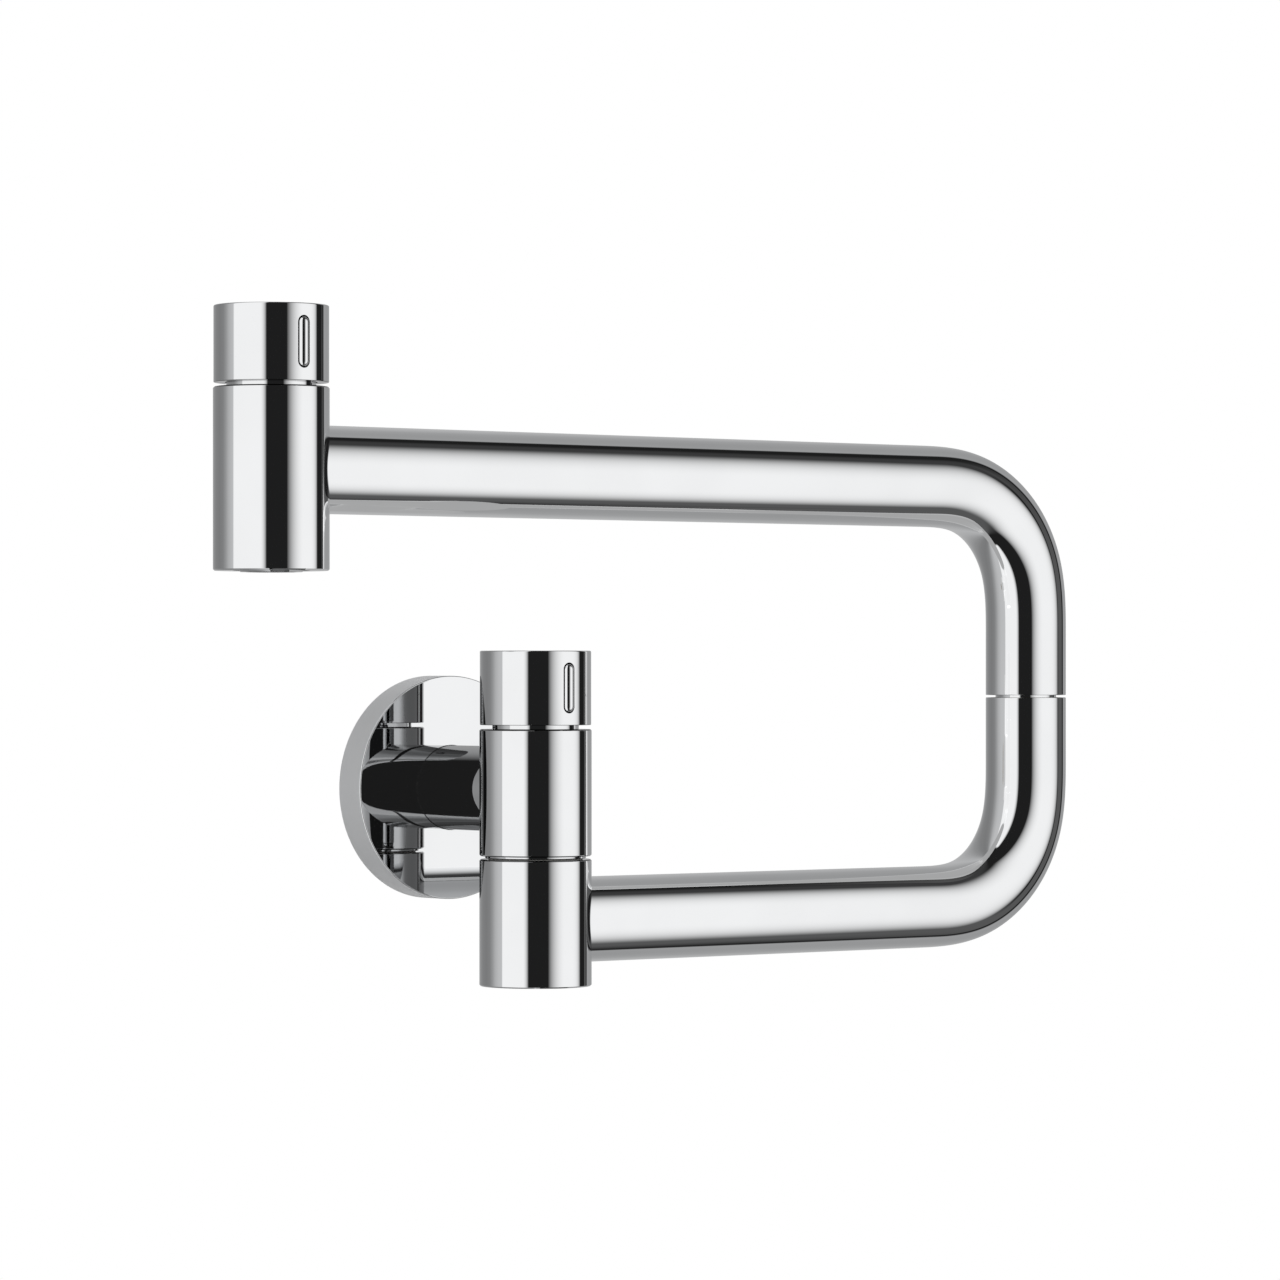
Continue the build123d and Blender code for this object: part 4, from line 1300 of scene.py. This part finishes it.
# Faint light in the dark front of the room: where it rises and falls round the object, and its slope
FrontLight = namedtuple("FrontLight", "rise fall slope level")
LOW_FRONT = FrontLight(rise=(10, 95), fall=(134, 108), slope=(-0.20, -0.55), level=0.10)
HIGH_FRONT = FrontLight(rise=(45, 100), fall=(125, 108), slope=(0.20, 0.55), level=0.045)

SOFTBOX_MID_HEIGHT = -0.04
SOFTBOX_LEVEL = 0.99
SIDE_CARD_LEVEL = 0.10
END_FADE_POWER = 3.0

FLOOR_HEIGHT = -0.40
FLOOR_RADIUS = 2.0
FLOOR_PALE_RADIUS = 0.45
FLOOR_WHITE_RADIUS = 0.9 * FLOOR_RADIUS
FLOOR_COLOUR = (0.86, 0.86, 0.86, 1.0)
FLOOR_ROUGHNESS = 0.9

LAMP_PLACE = (0.05, -0.25, 1.3)
LAMP_SIZE = 1.0
LAMP_POWER = 9.0


def background(tree, colour, strength):
    """Background shader of the world."""
    node = add_node(tree, "ShaderNodeBackground", {"Color": colour, "Strength": strength})
    return node.outputs["Background"]


def mix_shaders(tree, share, first, second):
    """Mix of two shaders."""
    node = tree.nodes.new("ShaderNodeMixShader")
    for socket, value in zip(node.inputs, (share, first, second)):
        feed(socket, value)
    return node.outputs["Shader"]


def mirror_or_glass(tree, rays):
    """One for a ray from a mirror or through glass."""
    return number(tree, "MAXIMUM", rays["Is Glossy Ray"], rays["Is Transmission Ray"])


def front_light(tree, light, angle, slope):
    """Level of one of the faint lights in front."""
    around = times(tree, ease(tree, angle, *light.rise), ease(tree, angle, *light.fall))
    return times(tree, around, ease(tree, slope, *light.slope, 0.0, light.level))


def studio_world():
    """White to the camera; metal sees the room; other light is soft and even."""
    world = bpy.data.worlds.new("studio_room")
    world.use_nodes = True
    tree = world.node_tree
    tree.nodes.clear()
    turn = tree.nodes.new("ShaderNodeVectorRotate")
    turn.rotation_type = "Z_AXIS"
    turn.inputs["Angle"].default_value = math.radians(90) - CAMERA_HEADING
    feed(turn.inputs["Vector"], tree.nodes.new("ShaderNodeTexCoord").outputs["Generated"])
    x, y, slope = split(tree, turn.outputs["Vector"])
    around = ease(tree, number(tree, "ARCTAN2", y, x), -math.pi, math.pi, smooth=False)
    ramp = add_node(tree, "ShaderNodeValToRGB", {"Fac": around})
    stops = ramp.color_ramp.elements
    stops[0].position, stops[1].position = 0.0, 1.0
    for degrees, _ in ROOM[1:-1]:
        stops.new((degrees + 180) / 360)
    for stop, (_, level) in zip(stops, ROOM):
        stop.color = (level, level, level, 1.0)
    angle = ease(tree, around, 0.0, 1.0, -180.0, 180.0, smooth=False)
    low = front_light(tree, LOW_FRONT, angle, slope)
    high = front_light(tree, HIGH_FRONT, angle, slope)
    brightness = number(tree, "MAXIMUM", ramp.outputs["Color"], number(tree, "MAXIMUM", low, high))
    rays = light_path(tree)
    room = background(tree, ROOM_TINT, brightness)
    even = background(tree, WHITE, AMBIENT)
    lit = mix_shaders(tree, mirror_or_glass(tree, rays), even, room)
    seen = mix_shaders(tree, rays["Is Camera Ray"], lit, background(tree, WHITE, 1.0))
    add_node(tree, "ShaderNodeOutputWorld", {"Surface": seen})
    bpy.context.scene.world = world


def softbox_shader(tree, start_fade, end_fade, full_height, reach, level):
    """Glow that fades to clear at the ends of a panel, above and below, and for near rays."""
    tree.nodes.clear()
    x, _, z = split(tree, place_on_object(tree))
    rise = number(tree, "SUBTRACT", 1.0, ease(tree, x, -1.0, 2 * start_fade - 1, smooth=False))
    lost_at_start = times(tree, rise, rise)
    fall = ease(tree, x, 1 - 2 * end_fade, 1.0, smooth=False)
    kept_at_end = number(tree, "SUBTRACT", 1.0, number(tree, "POWER", fall, END_FADE_POWER))
    lost_high = ease(tree, number(tree, "ABSOLUTE", z), full_height, 1.0)
    kept = number(tree, "SUBTRACT", 1.0, number(tree, "ADD", lost_at_start, lost_high))
    far = ease(tree, light_path(tree)["Ray Length"], reach / 2, reach)
    share = times(tree, number(tree, "MAXIMUM", kept, 0.0), kept_at_end, far)
    glow = add_node(tree, "ShaderNodeEmission", {"Strength": level})
    clear = tree.nodes.new("ShaderNodeBsdfTransparent").outputs["BSDF"]
    blend = mix_shaders(tree, share, clear, glow.outputs["Emission"])
    add_node(tree, "ShaderNodeOutputMaterial", {"Surface": blend})


def softbox(name, start, end, start_fade, end_fade, half_height, full_height, reach, level):
    """Upright light panel between two places on the plan, unseen by what swings within its reach."""
    first, last = Vector((*start, SOFTBOX_MID_HEIGHT)), Vector((*end, SOFTBOX_MID_HEIGHT))
    span = last - first
    corners = [(-1, 0, -1), (1, 0, -1), (1, 0, 1), (-1, 0, 1)]
    panel = new_piece(name, corners, [(0, 1, 2, 3)])
    panel.location = (first + last) / 2
    panel.rotation_euler.z = math.atan2(span.y, span.x)
    panel.scale = (span.length / 2, 1.0, half_height)
    panel.visible_camera = False
    panel.visible_shadow = False
    panel.visible_diffuse = False
    material, _ = new_material(name)
    softbox_shader(material.node_tree, start_fade, end_fade, full_height, reach, level)
    panel.data.materials.append(material)


def pale_floor():
    """Pale floor that keeps the shadow near the object and fades to white."""
    ring = even_angles(ROUND_SEGMENTS)
    points = [(FLOOR_RADIUS * math.cos(a), FLOOR_RADIUS * math.sin(a), FLOOR_HEIGHT) for a in ring]
    floor = new_piece("pale_floor", points, [tuple(range(len(points)))])
    floor.visible_glossy = False
    material, shader = new_material("pale_floor")
    tree = material.node_tree
    shader.inputs["Base Color"].default_value = FLOOR_COLOUR
    shader.inputs["Roughness"].default_value = FLOOR_ROUGHNESS
    spoke = vector(tree, "MULTIPLY", place_on_object(tree), (1.0, 1.0, 0.0))
    fade = ease(tree, vector(tree, "LENGTH", spoke), FLOOR_PALE_RADIUS, FLOOR_WHITE_RADIUS)
    rays = light_path(tree)
    shown = number(tree, "MAXIMUM", rays["Is Camera Ray"], mirror_or_glass(tree, rays))
    white = tree.nodes.new("ShaderNodeEmission").outputs["Emission"]
    blend = mix_shaders(tree, times(tree, fade, shown), shader.outputs["BSDF"], white)
    feed(tree.nodes["Material Output"].inputs["Surface"], blend)
    floor.data.materials.append(material)


def overhead_lamp():
    """Soft lamp over the object, which metal doesn't mirror."""
    light = bpy.data.lights.new("overhead_softbox", "AREA")
    light.shape = "DISK"
    light.size = LAMP_SIZE
    light.energy = LAMP_POWER
    lamp = new_object("overhead_softbox", light)
    lamp.location = LAMP_PLACE
    lamp.visible_glossy = False


def photograph_camera():
    """Camera at the photograph's place and angle."""
    data = bpy.data.cameras.new("photograph_camera")
    data.lens = CAMERA_LENS
    data.sensor_width = CAMERA_SENSOR
    data.shift_y = CAMERA_SHIFT_UP
    camera = new_object("photograph_camera", data)
    camera.location = CAMERA_PLACE
    camera.rotation_euler = (math.radians(90), 0.0, CAMERA_HEADING)
    bpy.context.scene.camera = camera


bpy.context.scene.view_settings.view_transform = "Standard"
studio_world()
softbox(
    "right_softbox",
    start=(-0.145, -0.773),
    end=(1.240, -0.587),
    start_fade=0.33,
    end_fade=0.565,
    half_height=1.6,
    full_height=0.15,
    reach=0.5,
    level=SOFTBOX_LEVEL,
)
softbox(
    "left_softbox",
    start=(-0.420, -0.392),
    end=(-0.437, 0.097),
    start_fade=0.25,
    end_fade=0.06,
    half_height=2.2,
    full_height=0.75,
    reach=0.28,
    level=SOFTBOX_LEVEL,
)
softbox(
    "side_card",
    start=(0.2887, -0.1065),
    end=(0.301, -0.074),
    start_fade=0.01,
    end_fade=0.01,
    half_height=0.3,
    full_height=0.3,
    reach=0.06,
    level=SIDE_CARD_LEVEL,
)
pale_floor()
overhead_lamp()
photograph_camera()

bpy.context.view_layer.update()
